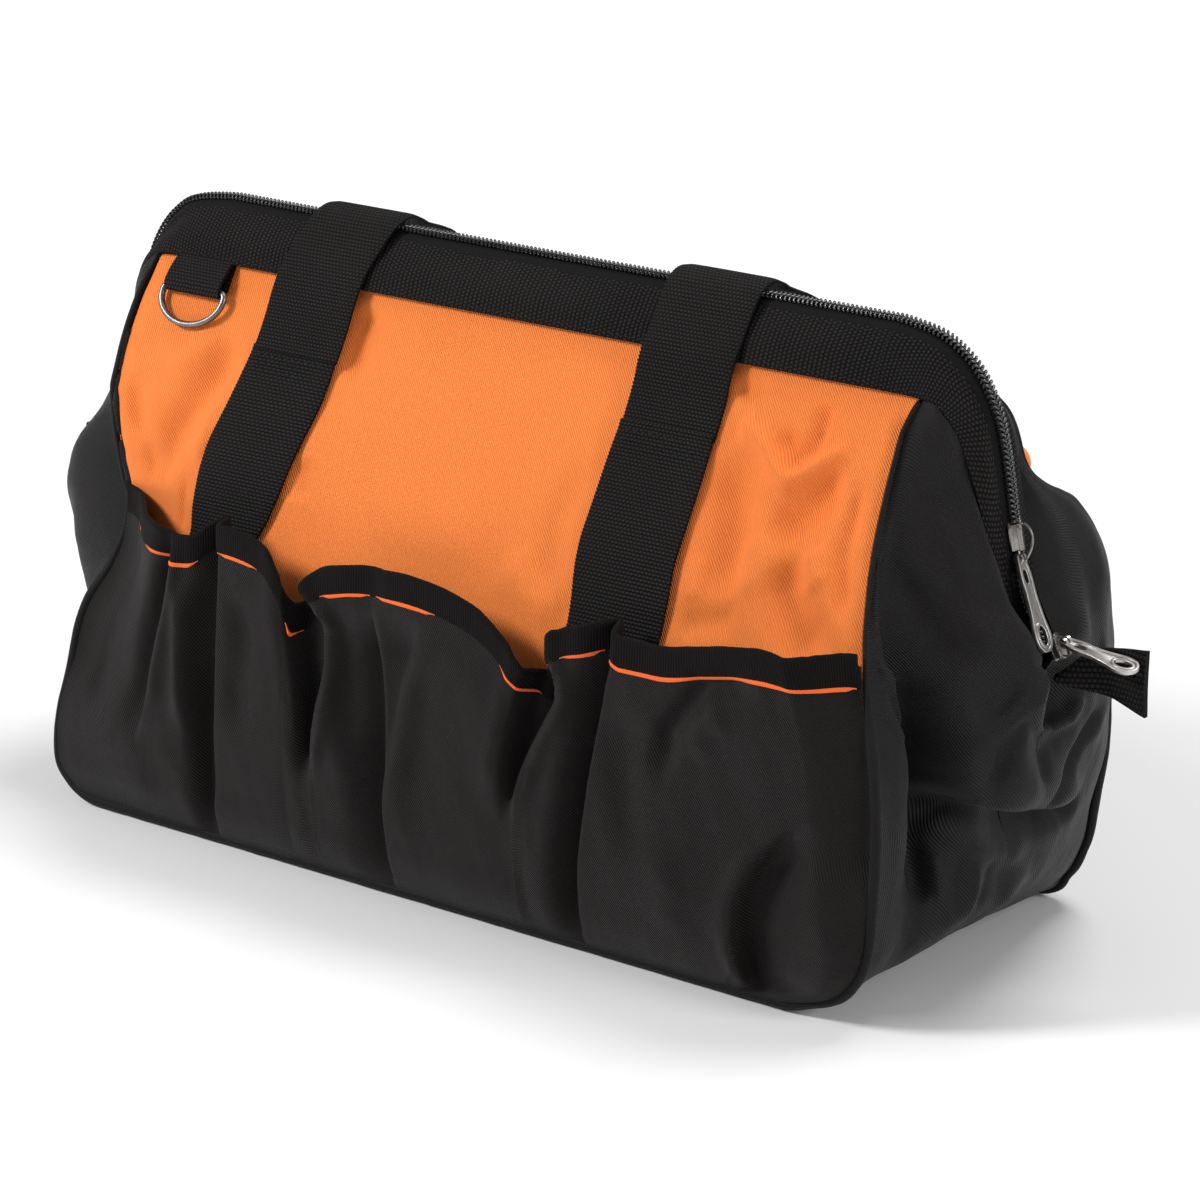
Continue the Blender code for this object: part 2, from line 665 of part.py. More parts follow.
for word, side, x in (("front", FRONT, -RING_X), ("back", BACK, RING_X)):
    ring_loop(word + "_ring_loop", x, side)
    d_ring(word + "_d_ring", x, side)
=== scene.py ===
import math

import bpy
import bmesh
import numpy as np
from mathutils import Matrix, Vector


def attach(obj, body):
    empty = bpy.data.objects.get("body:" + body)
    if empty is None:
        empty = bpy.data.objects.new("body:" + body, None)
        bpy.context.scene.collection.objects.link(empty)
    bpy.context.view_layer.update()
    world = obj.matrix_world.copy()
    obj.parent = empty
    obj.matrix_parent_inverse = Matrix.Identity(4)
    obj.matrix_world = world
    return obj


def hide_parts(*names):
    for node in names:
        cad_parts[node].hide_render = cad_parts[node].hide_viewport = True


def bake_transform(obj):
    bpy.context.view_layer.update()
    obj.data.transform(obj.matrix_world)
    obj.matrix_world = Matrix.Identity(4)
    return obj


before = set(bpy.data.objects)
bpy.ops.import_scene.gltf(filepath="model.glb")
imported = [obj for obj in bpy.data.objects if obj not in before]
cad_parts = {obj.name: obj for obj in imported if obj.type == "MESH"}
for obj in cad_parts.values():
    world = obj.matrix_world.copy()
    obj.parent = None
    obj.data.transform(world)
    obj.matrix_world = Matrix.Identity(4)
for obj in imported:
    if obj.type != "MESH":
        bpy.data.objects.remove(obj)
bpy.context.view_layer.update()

MM = 0.001
LEAN = math.radians(29.8)
SIN, COS = math.sin(LEAN), math.cos(LEAN)
FOLD_R = 90.0                      # radius of the cloth where the wall starts to lean
Q0 = 112.0 - FOLD_R * math.tan(LEAN / 2)
Q1 = 112.0 + FOLD_R * math.tan(LEAN / 2)
FRONT, BACK = -1, 1
STRAP_X = (-107.0, 77.0)


# ============================ numeric helpers =================================
def curve(xs, ys, x, limit=True):
    """Cubic through knots; with limit it never overshoots them."""
    xs = np.asarray(xs, float)
    Y = np.asarray(ys, float)
    flat = Y.ndim == 1
    if flat:
        Y = Y[:, None]
    h = np.diff(xs)[:, None]
    d = np.diff(Y, axis=0) / h
    m = np.zeros_like(Y)
    m[0], m[-1] = d[0], d[-1]
    if len(xs) > 2:
        m[1:-1] = (d[:-1] * h[1:] + d[1:] * h[:-1]) / (h[1:] + h[:-1])
        if limit:
            cap = 3 * np.minimum(abs(d[:-1]), abs(d[1:]))
            mid = np.clip(m[1:-1], -cap, cap)
            mid[d[:-1] * d[1:] <= 0] = 0
            m[1:-1] = mid
    x = np.clip(np.asarray(x, float), xs[0], xs[-1])
    i = np.clip(np.searchsorted(xs, x, side="right") - 1, 0, len(xs) - 2)
    hh = h[i, 0][..., None]
    f = ((x - xs[i]) / h[i, 0])[..., None]
    out = ((1 + 2 * f) * (1 - f) ** 2 * Y[i] + f * (1 - f) ** 2 * hh * m[i]
           + f * f * (3 - 2 * f) * Y[i + 1] + f * f * (f - 1) * hh * m[i + 1])
    return out[..., 0] if flat else out


def smooth(x):
    x = np.clip(x, 0.0, 1.0)
    return x * x * (3 - 2 * x)


def bump(x, centre, half):
    """1 at centre, 0 beyond half, smooth."""
    return smooth(1 - np.abs(np.asarray(x, float) - centre) / half)


def noise2(x, y, seed=0):
    """Smooth value noise in -1..1."""
    x, y = np.broadcast_arrays(np.asarray(x, float), np.asarray(y, float))
    xi, yi = np.floor(x).astype(np.int64), np.floor(y).astype(np.int64)
    fx, fy = x - xi, y - yi
    fx = fx ** 3 * (fx * (fx * 6 - 15) + 10)
    fy = fy ** 3 * (fy * (fy * 6 - 15) + 10)

    def h(i, j):
        n = (i * 374761393 + j * 668265263 + seed * 1442695041) & 0xFFFFFFFF
        n = ((n ^ (n >> 13)) * 1274126177) & 0xFFFFFFFF
        return ((n ^ (n >> 16)) & 0xFFFF) / 32767.5 - 1.0
    a = h(xi, yi) * (1 - fx) + h(xi + 1, yi) * fx
    b = h(xi, yi + 1) * (1 - fx) + h(xi + 1, yi + 1) * fx
    return a * (1 - fy) + b * fy


def crease(s, q, line, width, amp, fade=0.25):
    """A fold along a poly-line of (s, q) points, gaussian across, faded at its ends."""
    line = np.asarray(line, float)
    s, q = np.broadcast_arrays(np.asarray(s, float), np.asarray(q, float))
    seg = np.linalg.norm(np.diff(line, axis=0), axis=1)
    total, run = seg.sum(), 0.0
    best, along = np.full(s.shape, 1e9), np.zeros(s.shape)
    for a, b, L in zip(line, line[1:], seg):
        u = (b - a) / L
        f = np.clip((s - a[0]) * u[0] + (q - a[1]) * u[1], 0, L)
        dist = np.hypot(s - a[0] - f * u[0], q - a[1] - f * u[1])
        near = dist < best
        best = np.where(near, dist, best)
        along = np.where(near, (run + f) / total, along)
        run += L
    ends = smooth(along / fade) * smooth((1 - along) / fade) if fade > 0 else 1.0
    return amp * ends * np.exp(-(best / width) ** 2)


def unit(v):
    v = np.asarray(v, float)
    return v / np.maximum(np.linalg.norm(v, axis=-1, keepdims=True), 1e-12)


def grid_normals(P):
    du = np.gradient(P, axis=1)
    dv = np.gradient(P, axis=0)
    return unit(np.cross(du, dv))


def resample(path, n=None, step=None):
    """Even points along a poly-line, read from a smooth curve through it."""
    path = np.asarray(path, float)
    d = np.r_[0, np.cumsum(np.linalg.norm(np.diff(path, axis=0), axis=1))]
    fine = curve(d, path, np.linspace(0, d[-1], max(len(path) * 24, 400)), limit=False)
    e = np.r_[0, np.cumsum(np.linalg.norm(np.diff(fine, axis=0), axis=1))]
    if n is None:
        n = max(int(round(e[-1] / step)) + 1, 3)
    t = np.linspace(0, e[-1], n)
    return np.stack([np.interp(t, e, fine[:, k]) for k in range(path.shape[1])], 1), t


# ============================ mesh helpers ====================================
def make(name, V, F, mat, uv=None, sharp=45, body=None):
    V = np.asarray(V, float) * MM
    me = bpy.data.meshes.new(name)
    me.from_pydata(V.tolist(), [], [tuple(map(int, f)) for f in F])
    me.validate()
    if uv is not None:
        uv = np.asarray(uv, float)
        layer = me.uv_layers.new(name="cloth_mm")
        idx = np.empty(len(me.loops), np.int32)
        me.loops.foreach_get("vertex_index", idx)
        layer.data.foreach_set("uv", uv[idx].astype(np.float32).ravel())
    bm = bmesh.new()
    bm.from_mesh(me)
    bmesh.ops.recalc_face_normals(bm, faces=bm.faces)
    bm.to_mesh(me)
    bm.free()
    me.shade_smooth()
    me.set_sharp_from_angle(angle=math.radians(sharp))
    me.materials.append(mat)
    ob = bpy.data.objects.new(name, me)
    bpy.context.scene.collection.objects.link(ob)
    if body:
        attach(ob, body)
    return ob


def grid_quads(nv, nu, off=0, flip=False):
    j, i = np.meshgrid(np.arange(nv - 1), np.arange(nu - 1), indexing="ij")
    a = (off + j * nu + i).ravel()
    q = np.stack([a, a + 1, a + nu + 1, a + nu], 1)
    return q[:, ::-1] if flip else q


def uv_of(P, s0=0.0):
    """Length along both ways of a grid, in mm."""
    du = np.linalg.norm(np.diff(P, axis=1), axis=2)
    dv = np.linalg.norm(np.diff(P, axis=0), axis=2)
    U = np.concatenate([np.zeros((P.shape[0], 1)), np.cumsum(du, 1)], 1)
    V = np.concatenate([np.zeros((1, P.shape[1])), np.cumsum(dv, 0)], 0)
    U = U - U[:, P.shape[1] // 2][:, None] + s0
    V = V - V[P.shape[0] // 2][None, :]
    return np.stack([U, V], 2)


def shell(name, P, thick, mat, outward, uv=None, sharp=50):
    """Closed sheet: P is its outer face, the other face lies thick inside."""
    N = grid_normals(P)
    if np.sum(N.mean((0, 1)) * np.asarray(outward, float)) < 0:
        N = -N
    I = P - N * thick
    nv, nu = P.shape[:2]
    if uv is None:
        uv = uv_of(P)
    V = np.concatenate([P.reshape(-1, 3), I.reshape(-1, 3)])
    tot = nv * nu
    F = [grid_quads(nv, nu), grid_quads(nv, nu, tot, True)]
    ring = np.r_[np.arange(nu), np.arange(1, nv) * nu + nu - 1,
                 (nv - 1) * nu + np.arange(nu - 2, -1, -1), np.arange(nv - 2, 0, -1) * nu]
    nxt = np.roll(ring, -1)
    F.append(np.stack([nxt, ring, ring + tot, nxt + tot], 1))
    UV = np.concatenate([uv.reshape(-1, 2), uv.reshape(-1, 2)])
    return make(name, V, np.concatenate(F), mat, UV, sharp)


def loft(name, rings, mat, uv=None, closed=False, sharp=45):
    """rings: (n, k, 3). Each ring is a closed loop; ends are capped."""
    R = np.asarray(rings, float)
    n, k = R.shape[:2]
    V = R.reshape(-1, 3)
    last = n if closed else n - 1
    i, j = np.meshgrid(np.arange(last), np.arange(k), indexing="ij")
    i, j = i.ravel(), j.ravel()
    i2, j2 = (i + 1) % n, (j + 1) % k
    F = np.stack([i * k + j, i * k + j2, i2 * k + j2, i2 * k + j], 1).tolist()
    if not closed:
        F.append(list(range(k - 1, -1, -1)))
        F.append([(n - 1) * k + m for m in range(k)])
    if uv is None:
        d = np.r_[0, np.cumsum(np.linalg.norm(np.diff(R.mean(1), axis=0), axis=1))]
        per = np.r_[0, np.cumsum(np.linalg.norm(np.diff(R[n // 2], axis=0), axis=1))]
        uv = np.stack(np.broadcast_arrays(d[:, None], per[None, :]), 2)
    return make(name, V, F, mat, np.asarray(uv).reshape(-1, 2), sharp)


def frames(path, up=(0, 1, 0)):
    """Tangent, side and normal along a path, carried without twisting."""
    T = unit(np.gradient(path, axis=0))
    n = np.asarray(up, float)
    N = np.zeros_like(T)
    for i, t in enumerate(T):
        n = n - t * np.dot(n, t)
        n = n / max(np.linalg.norm(n), 1e-9)
        N[i] = n
    return T, N, np.cross(T, N)


def tube_rings(path, r, sides=8, up=(0, 1, 0)):
    T, N, B = frames(path, up)
    a = np.arange(sides) * 2 * math.pi / sides
    r = np.broadcast_to(np.asarray(r, float), (len(path),))
    return (path[:, None, :] + r[:, None, None] * (np.cos(a)[None, :, None] * N[:, None, :]
            + np.sin(a)[None, :, None] * B[:, None, :]))


def tube(name, path, r, mat, sides=8, up=(0, 1, 0), closed=False):
    return loft(name, tube_rings(np.asarray(path, float), r, sides, up), mat, closed=closed)


def merged(name, parts, mat, sharp=45):
    """One object from (V, F, uv) triples."""
    V, F, U, off = [], [], [], 0
    for v, f, u in parts:
        V.append(v)
        U.append(u)
        F.extend([[int(a) + off for a in q] for q in f])
        off += len(v)
    return make(name, np.concatenate(V), F, mat, np.concatenate(U), sharp)


def ring_part(R):
    """(V, F, uv) of a capped loft."""
    n, k = R.shape[:2]
    i, j = np.meshgrid(np.arange(n - 1), np.arange(k), indexing="ij")
    i, j = i.ravel(), j.ravel()
    j2 = (j + 1) % k
    F = np.stack([i * k + j, i * k + j2, (i + 1) * k + j2, (i + 1) * k + j], 1).tolist()
    F.append(list(range(k - 1, -1, -1)))
    F.append([(n - 1) * k + m for m in range(k)])
    uv = np.stack(np.broadcast_arrays(np.arange(n)[:, None] * 0.6, np.arange(k)[None, :] * 0.3), 2)
    return R.reshape(-1, 3), F, uv.reshape(-1, 2).astype(float)


def stitches(name, pts, normals, mat, length=2.5, gap=1.1, r=0.27, lift=0.08):
    """A row of thread stitches along a path."""
    pts = np.asarray(pts, float)
    normals = np.asarray(normals, float)
    d = np.r_[0, np.cumsum(np.linalg.norm(np.diff(pts, axis=0), axis=1))]
    parts, at = [], gap
    while at + length < d[-1]:
        t = at + np.array([0, .12, .35, .65, .88, 1.0]) * length
        c = np.stack([np.interp(t, d, pts[:, k]) for k in range(3)], 1)
        n = unit(np.stack([np.interp(t, d, normals[:, k]) for k in range(3)], 1))
        c = c + n * (lift + r * np.array([-1.2, -.2, .25, .25, -.2, -1.2]))[:, None]
        T = unit(np.gradient(c, axis=0))
        B = unit(np.cross(T, n))
        N = np.cross(B, T)
        a = np.arange(6) * math.pi / 3
        rr = r * np.array([.45, .9, 1, 1, .9, .45])
        parts.append(ring_part(c[:, None] + rr[:, None, None] * (
            np.cos(a)[None, :, None] * N[:, None] + np.sin(a)[None, :, None] * B[:, None])))
        at += length + gap
    return merged(name, parts, mat, 60)


def plate(name, outline, holes, thick, bevel, place, mat, body=None, sharp=35):
    """A flat part with holes: 2-D outlines in mm, bevelled, placed by a 4x4."""
    cu = bpy.data.curves.new(name, "CURVE")
    cu.dimensions = "2D"
    cu.fill_mode = "BOTH"
    cu.extrude = max(thick / 2 - bevel, 0.01)
    cu.bevel_depth = bevel
    cu.bevel_resolution = 2
    for loop in [outline] + list(holes):
        sp = cu.splines.new("POLY")
        sp.points.add(len(loop) - 1)
        for p, (x, y) in zip(sp.points, loop):
            p.co = (x, y, 0, 1)
        sp.use_cyclic_u = True
    ob = bpy.data.objects.new(name + "_curve", cu)
    bpy.context.scene.collection.objects.link(ob)
    dg = bpy.context.evaluated_depsgraph_get()
    me = bpy.data.meshes.new_from_object(ob.evaluated_get(dg))
    bpy.data.objects.remove(ob, do_unlink=True)
    bpy.data.curves.remove(cu)
    bm = bmesh.new()
    bm.from_mesh(me)
    bmesh.ops.remove_doubles(bm, verts=bm.verts, dist=1e-4)
    bmesh.ops.recalc_face_normals(bm, faces=bm.faces)
    V = np.array([list(v.co) for v in bm.verts])
    F = [[v.index for v in f.verts] for f in bm.faces]
    bm.free()
    bpy.data.meshes.remove(me)
    M = np.asarray(place, float)
    W = V @ M[:3, :3].T + M[:3, 3]
    return W, F, V[:, :2].copy()


def rounded(points, r, n=5):
    """Outline with its corners rounded."""
    P = np.asarray(points, float)
    out = []
    for i in range(len(P)):
        a, b, c = P[i - 1], P[i], P[(i + 1) % len(P)]
        u, v = unit(a - b), unit(c - b)
        rr = min(r, 0.45 * np.linalg.norm(a - b), 0.45 * np.linalg.norm(c - b))
        for k in range(n + 1):
            f = k / n
            out.append(tuple((1 - f) ** 2 * (b + u * rr) + 2 * f * (1 - f) * b + f * f * (b + v * rr)))
    return out


def oval(cx, cy, rx, ry, n=20):
    return [(cx + rx * math.cos(2 * math.pi * k / n), cy + ry * math.sin(2 * math.pi * k / n))
            for k in range(n)]


# ============================ materials =======================================
class Mat:
    """A small writer for node materials driven by the cloth's own mm layout."""

    def __init__(self, name, rough=0.8, spec=0.25, metal=0.0, sheen=0.0):
        self.m = bpy.data.materials.new(name)
        self.m.use_nodes = True
        self.t = self.m.node_tree
        self.b = self.t.nodes["Principled BSDF"]
        self.b.inputs["Roughness"].default_value = rough
        self.b.inputs["Specular IOR Level"].default_value = spec
        self.b.inputs["Metallic"].default_value = metal
        self.b.inputs["Sheen Weight"].default_value = sheen
        self.b.inputs["Sheen Roughness"].default_value = 0.45
        uv = self.t.nodes.new("ShaderNodeUVMap")
        uv.uv_map = "cloth_mm"
        sep = self.t.nodes.new("ShaderNodeSeparateXYZ")
        self.t.links.new(uv.outputs[0], sep.inputs[0])
        self.uv, self.U, self.V = uv.outputs[0], sep.outputs[0], sep.outputs[1]
        geo = self.t.nodes.new("ShaderNodeTexCoord")
        self.obj = geo.outputs["Object"]

    def put(self, sock, v):
        if isinstance(v, bpy.types.NodeSocket):
            self.t.links.new(v, sock)
        else:
            sock.default_value = v

    def f(self, op, a, b=0.0, c=0.0, clamp=False):
        n = self.t.nodes.new("ShaderNodeMath")
        n.operation = op
        n.use_clamp = clamp
        self.put(n.inputs[0], a)
        self.put(n.inputs[1], b)
        self.put(n.inputs[2], c)
        return n.outputs[0]

    def lin(self, a, ka, b, kb, k=0.0):
        """ka*a + kb*b + k"""
        return self.f("MULTIPLY_ADD", b, kb, self.f("MULTIPLY_ADD", a, ka, k))

    def wave(self, x):
        """sine of x turns, in 0..1"""
        return self.f("MULTIPLY_ADD", self.f("SINE", self.f("MULTIPLY", x, 2 * math.pi)), 0.5, 0.5)

    def noise(self, vec, scale, detail=2.0, rough=0.5):
        n = self.t.nodes.new("ShaderNodeTexNoise")
        self.t.links.new(vec, n.inputs["Vector"])
        n.inputs["Scale"].default_value = scale
        n.inputs["Detail"].default_value = detail
        n.inputs["Roughness"].default_value = rough
        return n.outputs["Fac"]

    def mix(self, fac, a, b):
        n = self.t.nodes.new("ShaderNodeMix")
        n.data_type = "RGBA"
        self.put(n.inputs["Factor"], fac)
        self.put(n.inputs["A"], (*a, 1.0) if isinstance(a, tuple) else a)
        self.put(n.inputs["B"], (*b, 1.0) if isinstance(b, tuple) else b)
        return n.outputs["Result"]

    def colour(self, c):
        self.put(self.b.inputs["Base Color"], (*c, 1.0) if isinstance(c, tuple) else c)

    def bump(self, height, dist_mm, strength=1.0):
        n = self.t.nodes.new("ShaderNodeBump")
        n.inputs["Strength"].default_value = strength
        n.inputs["Distance"].default_value = dist_mm * MM
        self.t.links.new(height, n.inputs["Height"])
        self.t.links.new(n.outputs[0], self.b.inputs["Normal"])


def tint(c, k):
    return tuple(min(max(x * k, 0.0), 1.0) for x in c)


def cloth(name, col, dark, pitch=1.15, slope=0.8, bumpd=0.16, rough=0.78, spec=0.22, sheen=0.05,
          contrast=0.35, blotch=0.16):
    m = Mat(name, rough, spec, 0.0, sheen)
    diag = m.wave(m.lin(m.U, 1 / pitch, m.V, slope / pitch))
    weft = m.wave(m.f("MULTIPLY", m.V, 1 / 0.72))
    yarn = m.f("MULTIPLY", diag, m.f("MULTIPLY_ADD", weft, 0.35, 0.65))
    slub = m.noise(m.uv, 0.9, 2.0, 0.6)
    big = m.noise(m.obj, 16.0, 3.0, 0.55)
    fine = m.f("ADD", m.f("MULTIPLY", yarn, contrast), m.f("MULTIPLY", slub, 0.3))
    k = m.f("ADD", fine, m.f("MULTIPLY", m.f("SUBTRACT", big, 0.5), blotch * 2), clamp=True)
    m.colour(m.mix(k, dark, col))
    m.put(m.b.inputs["Roughness"], m.f("MULTIPLY_ADD", slub, 0.14, rough - 0.07))
    m.bump(m.f("ADD", yarn, m.f("MULTIPLY", slub, 0.35)), bumpd)
    return m.m


def webbing(name, col, dark, light):
    m = Mat(name, 0.62, 0.13, 0.0, 0.01)
    row = m.f("MULTIPLY", m.V, 1 / 1.45)
    ridge = m.f("POWER", m.f("ABSOLUTE", m.f("SINE", m.f("MULTIPLY", row, math.pi))), 0.7)
    odd = m.f("MULTIPLY", m.f("FLOOR", row), 0.5)
    bead = m.wave(m.f("MULTIPLY_ADD", m.U, 1 / 1.7, odd))
    pick = m.f("MULTIPLY", ridge, m.f("MULTIPLY_ADD", bead, 0.55, 0.45))
    big = m.noise(m.obj, 22.0, 2.0)
    m.colour(m.mix(m.f("POWER", pick, 2.1), dark, m.mix(big, col, light)))
    m.put(m.b.inputs["Roughness"], m.f("MULTIPLY_ADD", pick, -0.18, 0.78))
    m.bump(pick, 0.62)
    return m.m


def ribbed(name, col, dark, pitch=1.8, dot=1.35, bumpd=0.3, rough=0.8, depth=0.5, border=None):
    m = Mat(name, rough, 0.11, 0.0, 0.01)
    x = m.f("MULTIPLY", m.U, 1 / pitch)
    rib = m.f("POWER", m.f("ABSOLUTE", m.f("SINE", m.f("MULTIPLY", x, math.pi))), 0.8)
    odd = m.f("MULTIPLY", m.f("FLOOR", x), 0.5)
    dots = m.wave(m.f("MULTIPLY_ADD", m.V, 1 / dot, odd))
    h = m.f("MULTIPLY", rib, m.f("MULTIPLY_ADD", dots, depth, 1 - depth))
    if border:
        # smooth selvedges at both edges of the tape
        lo = m.f("MULTIPLY_ADD", m.V, 1 / 1.2, -border[0] / 1.2, clamp=True)
        hi = m.f("MULTIPLY_ADD", m.V, -1 / 1.2, border[1] / 1.2, clamp=True)
        keep = m.f("MULTIPLY", lo, hi)
        h = m.f("MULTIPLY_ADD", h, keep, m.f("MULTIPLY_ADD", keep, -0.5, 0.5))
    wob = m.noise(m.uv, 0.35, 3.0, 0.6)
    big = m.noise(m.obj, 20.0, 2.0)
    k = m.f("ADD", m.f("MULTIPLY", m.f("POWER", h, 1.7), 0.75),
            m.f("MULTIPLY", m.f("SUBTRACT", big, 0.5), 0.3), clamp=True)
    m.colour(m.mix(k, dark, col))
    m.put(m.b.inputs["Roughness"], m.f("MULTIPLY_ADD", wob, 0.15, rough - 0.08))
    m.bump(m.f("MULTIPLY_ADD", wob, 0.25, h), bumpd)
    return m.m


def steel(name, col, dark, rough=0.3):
    m = Mat(name, rough, 0.5, 1.0, 0.0)
    scr = m.noise(m.uv, 3.0, 4.0, 0.7)
    big = m.noise(m.obj, 260.0, 3.0, 0.6)
    m.colour(m.mix(m.f("MULTIPLY_ADD", big, 1.4, -0.2, clamp=True), dark, col))
    m.put(m.b.inputs["Roughness"], m.f("MULTIPLY_ADD", scr, 0.22, rough - 0.08))
    m.bump(m.f("ADD", scr, big), 0.02, 0.6)
    return m.m


def simple(name, col, dark, rough, spec, scale=300.0, bumpd=0.04):
    m = Mat(name, rough, spec)
    n = m.noise(m.obj, scale, 3.0, 0.6)
    m.colour(m.mix(n, dark, col))
    m.put(m.b.inputs["Roughness"], m.f("MULTIPLY_ADD", n, 0.2, rough - 0.1))
    m.bump(n, bumpd)
    return m.m


ORANGE = cloth("orange_cloth_twill", (0.990, 0.310, 0.066), (0.875, 0.170, 0.0325), contrast=0.8,
               blotch=0.14, rough=0.72, spec=0.2, sheen=0.03, bumpd=0.36)
POCKET = cloth("black_cloth_pocket", (0.0150, 0.0116, 0.0108), (0.0012, 0.0009, 0.0008),
               contrast=0.9, bumpd=0.30, rough=0.56, spec=0.12)
SIDE = cloth("black_cloth_side", (0.0160, 0.0138, 0.0138), (0.0020, 0.0017, 0.0017),
             contrast=0.85, bumpd=0.28, rough=0.52, spec=0.17)
LINING = cloth("black_cloth_lining", (0.012, 0.011, 0.011), (0.006, 0.006, 0.006), pitch=0.9)
WEB = webbing("black_webbing_picks", (0.0165, 0.0143, 0.0135), (0.0003, 0.0002, 0.0002),
              (0.034, 0.0295, 0.028))
BAND = ribbed("black_tape_band", (0.0400, 0.0352, 0.0340), (0.0008, 0.0006, 0.0006), 2.0, 1.5, 0.62,
              depth=0.66)
BIND = ribbed("black_tape_binding", (0.0085, 0.0064, 0.0060), (0.0012, 0.0009, 0.0008), 1.15, 2.6,
              0.24, depth=0.2)
TAPE = ribbed("black_tape_zip", (0.0095, 0.0085, 0.0085), (0.0045, 0.0040, 0.0040), 0.9, 0.9, 0.08,
              rough=0.85, depth=0.3)
TAIL = ribbed("black_tape_tail", (0.030, 0.0265, 0.0255), (0.0010, 0.0008, 0.0008), 2.1, 1.7, 0.75,
             depth=0.6)
PIPE = cloth("black_cloth_piping", (0.0105, 0.0090, 0.0088), (0.0035, 0.0030, 0.0030), pitch=0.9,
             bumpd=0.10, rough=0.62, spec=0.16)
TRIM = cloth("orange_cloth_trim", (0.95, 0.20, 0.04), (0.80, 0.11, 0.02), pitch=0.8, bumpd=0.05)
COIL = simple("black_coil_nylon", (0.022, 0.022, 0.023), (0.008, 0.008, 0.009), 0.27, 0.75, 500.0,
              0.02)
THREAD = simple("black_cloth_thread", (0.010, 0.0085, 0.0085), (0.004, 0.0035, 0.0035), 0.55, 0.2)
STEEL = steel("grey_metal_ring", (0.25, 0.235, 0.225), (0.13, 0.12, 0.115), 0.36)
GUN = steel("grey_metal_pull", (0.60, 0.58, 0.56), (0.36, 0.34, 0.33), 0.30)
GUND = steel("grey_metal_slider", (0.40, 0.375, 0.36), (0.20, 0.185, 0.175), 0.26)
BOARDM = simple("board_fibre", (0.03, 0.03, 0.03), (0.02, 0.02, 0.02), 0.6, 0.3)


# ============================ the shape of the walls ==========================
def profile(q):
    """Middle section of the front wall: q runs up the cloth."""
    q = np.asarray(q, float)
    th = LEAN * np.clip((q - Q0) / (Q1 - Q0), 0, 1)
    y = -77 + FOLD_R * (1 - np.cos(th))
    z = np.minimum(q, Q0) + FOLD_R * np.sin(th)
    over = np.maximum(q - Q1, 0)
    y1, z1 = -77 + (Q1 - 112) * SIN, 112 + (Q1 - 112) * COS
    y = np.where(q > Q1, y1 + over * SIN, y)
    z = np.where(q > Q1, z1 + over * COS, z)
    return y, z, -np.cos(th), np.sin(th)


# half length of the wall up the cloth: right end, left end, and the back's
XR = ([0, 3, 6, 8.5, 18.5, 29, 46, 61, 96, 110, 122, 145, 165, 190, 209, 222, 230, 238],
      [157, 167, 176, 183, 195, 199.5, 201.2, 201.8, 200.4, 197, 192.4, 183.4, 178.6, 174.8, 173.2, 172.6,
       174.4, 177.6])
XL = ([0, 3, 10, 21, 35, 60, 75, 86, 100, 112, 128, 142, 156, 168, 190, 206, 223, 238],
      [170, 184, 196, 200.8, 199.5, 193.5, 191.5, 188.5, 182, 178.8, 177.5, 183, 189, 193, 197,
       198, 197, 193])
XB = ([0, 3, 12, 25, 45, 69, 95, 112, 142, 165, 182, 197, 209, 224, 238],
      [166, 178, 188.5, 195.5, 199.8, 204, 205, 203.5, 191.5, 187, 190.5, 194.8, 193.5, 186, 180])


def edge(q, side, right):
    if side == BACK:
        return curve(*XB, q)
    return curve(*(XR if right else XL), q)


def roll(s, q, side):
    """How far the back wall's ends roll forward just under the band."""
    if side == FRONT:
        return 0.0 * s
    return 8.0 * np.exp(-((q - 200) / 14) ** 2) * smooth((np.abs(s) - 188) / 12)


def sx(s, q, side):
    """s is -200..200 along the wall; the ends follow the wall's outline."""
    s, q = np.broadcast_arrays(np.asarray(s, float), np.asarray(q, float))
    a = np.abs(s)
    if side == BACK:
        k = 0.9 * np.exp(-((q - 201) / 12.5) ** 2)
        a = 200 - (200 - a) * (1 - k * smooth((a - 174) / 18))
    xr, xl = edge(q, side, True), edge(q, side, False)
    lim = np.where(s > 0, xr, xl)
    x = np.where(a > 120, 120 + (a - 120) / 80 * (lim - 120), a)
    return np.sign(s) * x


def recess(s, q, side):
    """The left end of the front wall folds in behind the pockets' tops."""
    if side == BACK:
        return 5.0 * smooth((np.abs(s) - 130) / 70.0) * curve([30, 80, 112, 150, 190],
                                                             [0, .6, 1, .6, 0], q)
    left = smooth((-np.asarray(s, float) - 112) / 88.0) ** 1.3
    right = smooth((np.asarray(s, float) - 165) / 35.0)
    return (16 * left * curve([30, 60, 86, 100, 112, 142, 178], [0, .16, .5, .85, 1, .55, 0], q)
            + 1.5 * right * curve([30, 90, 130, 180], [0, 1, 1, 0], q))


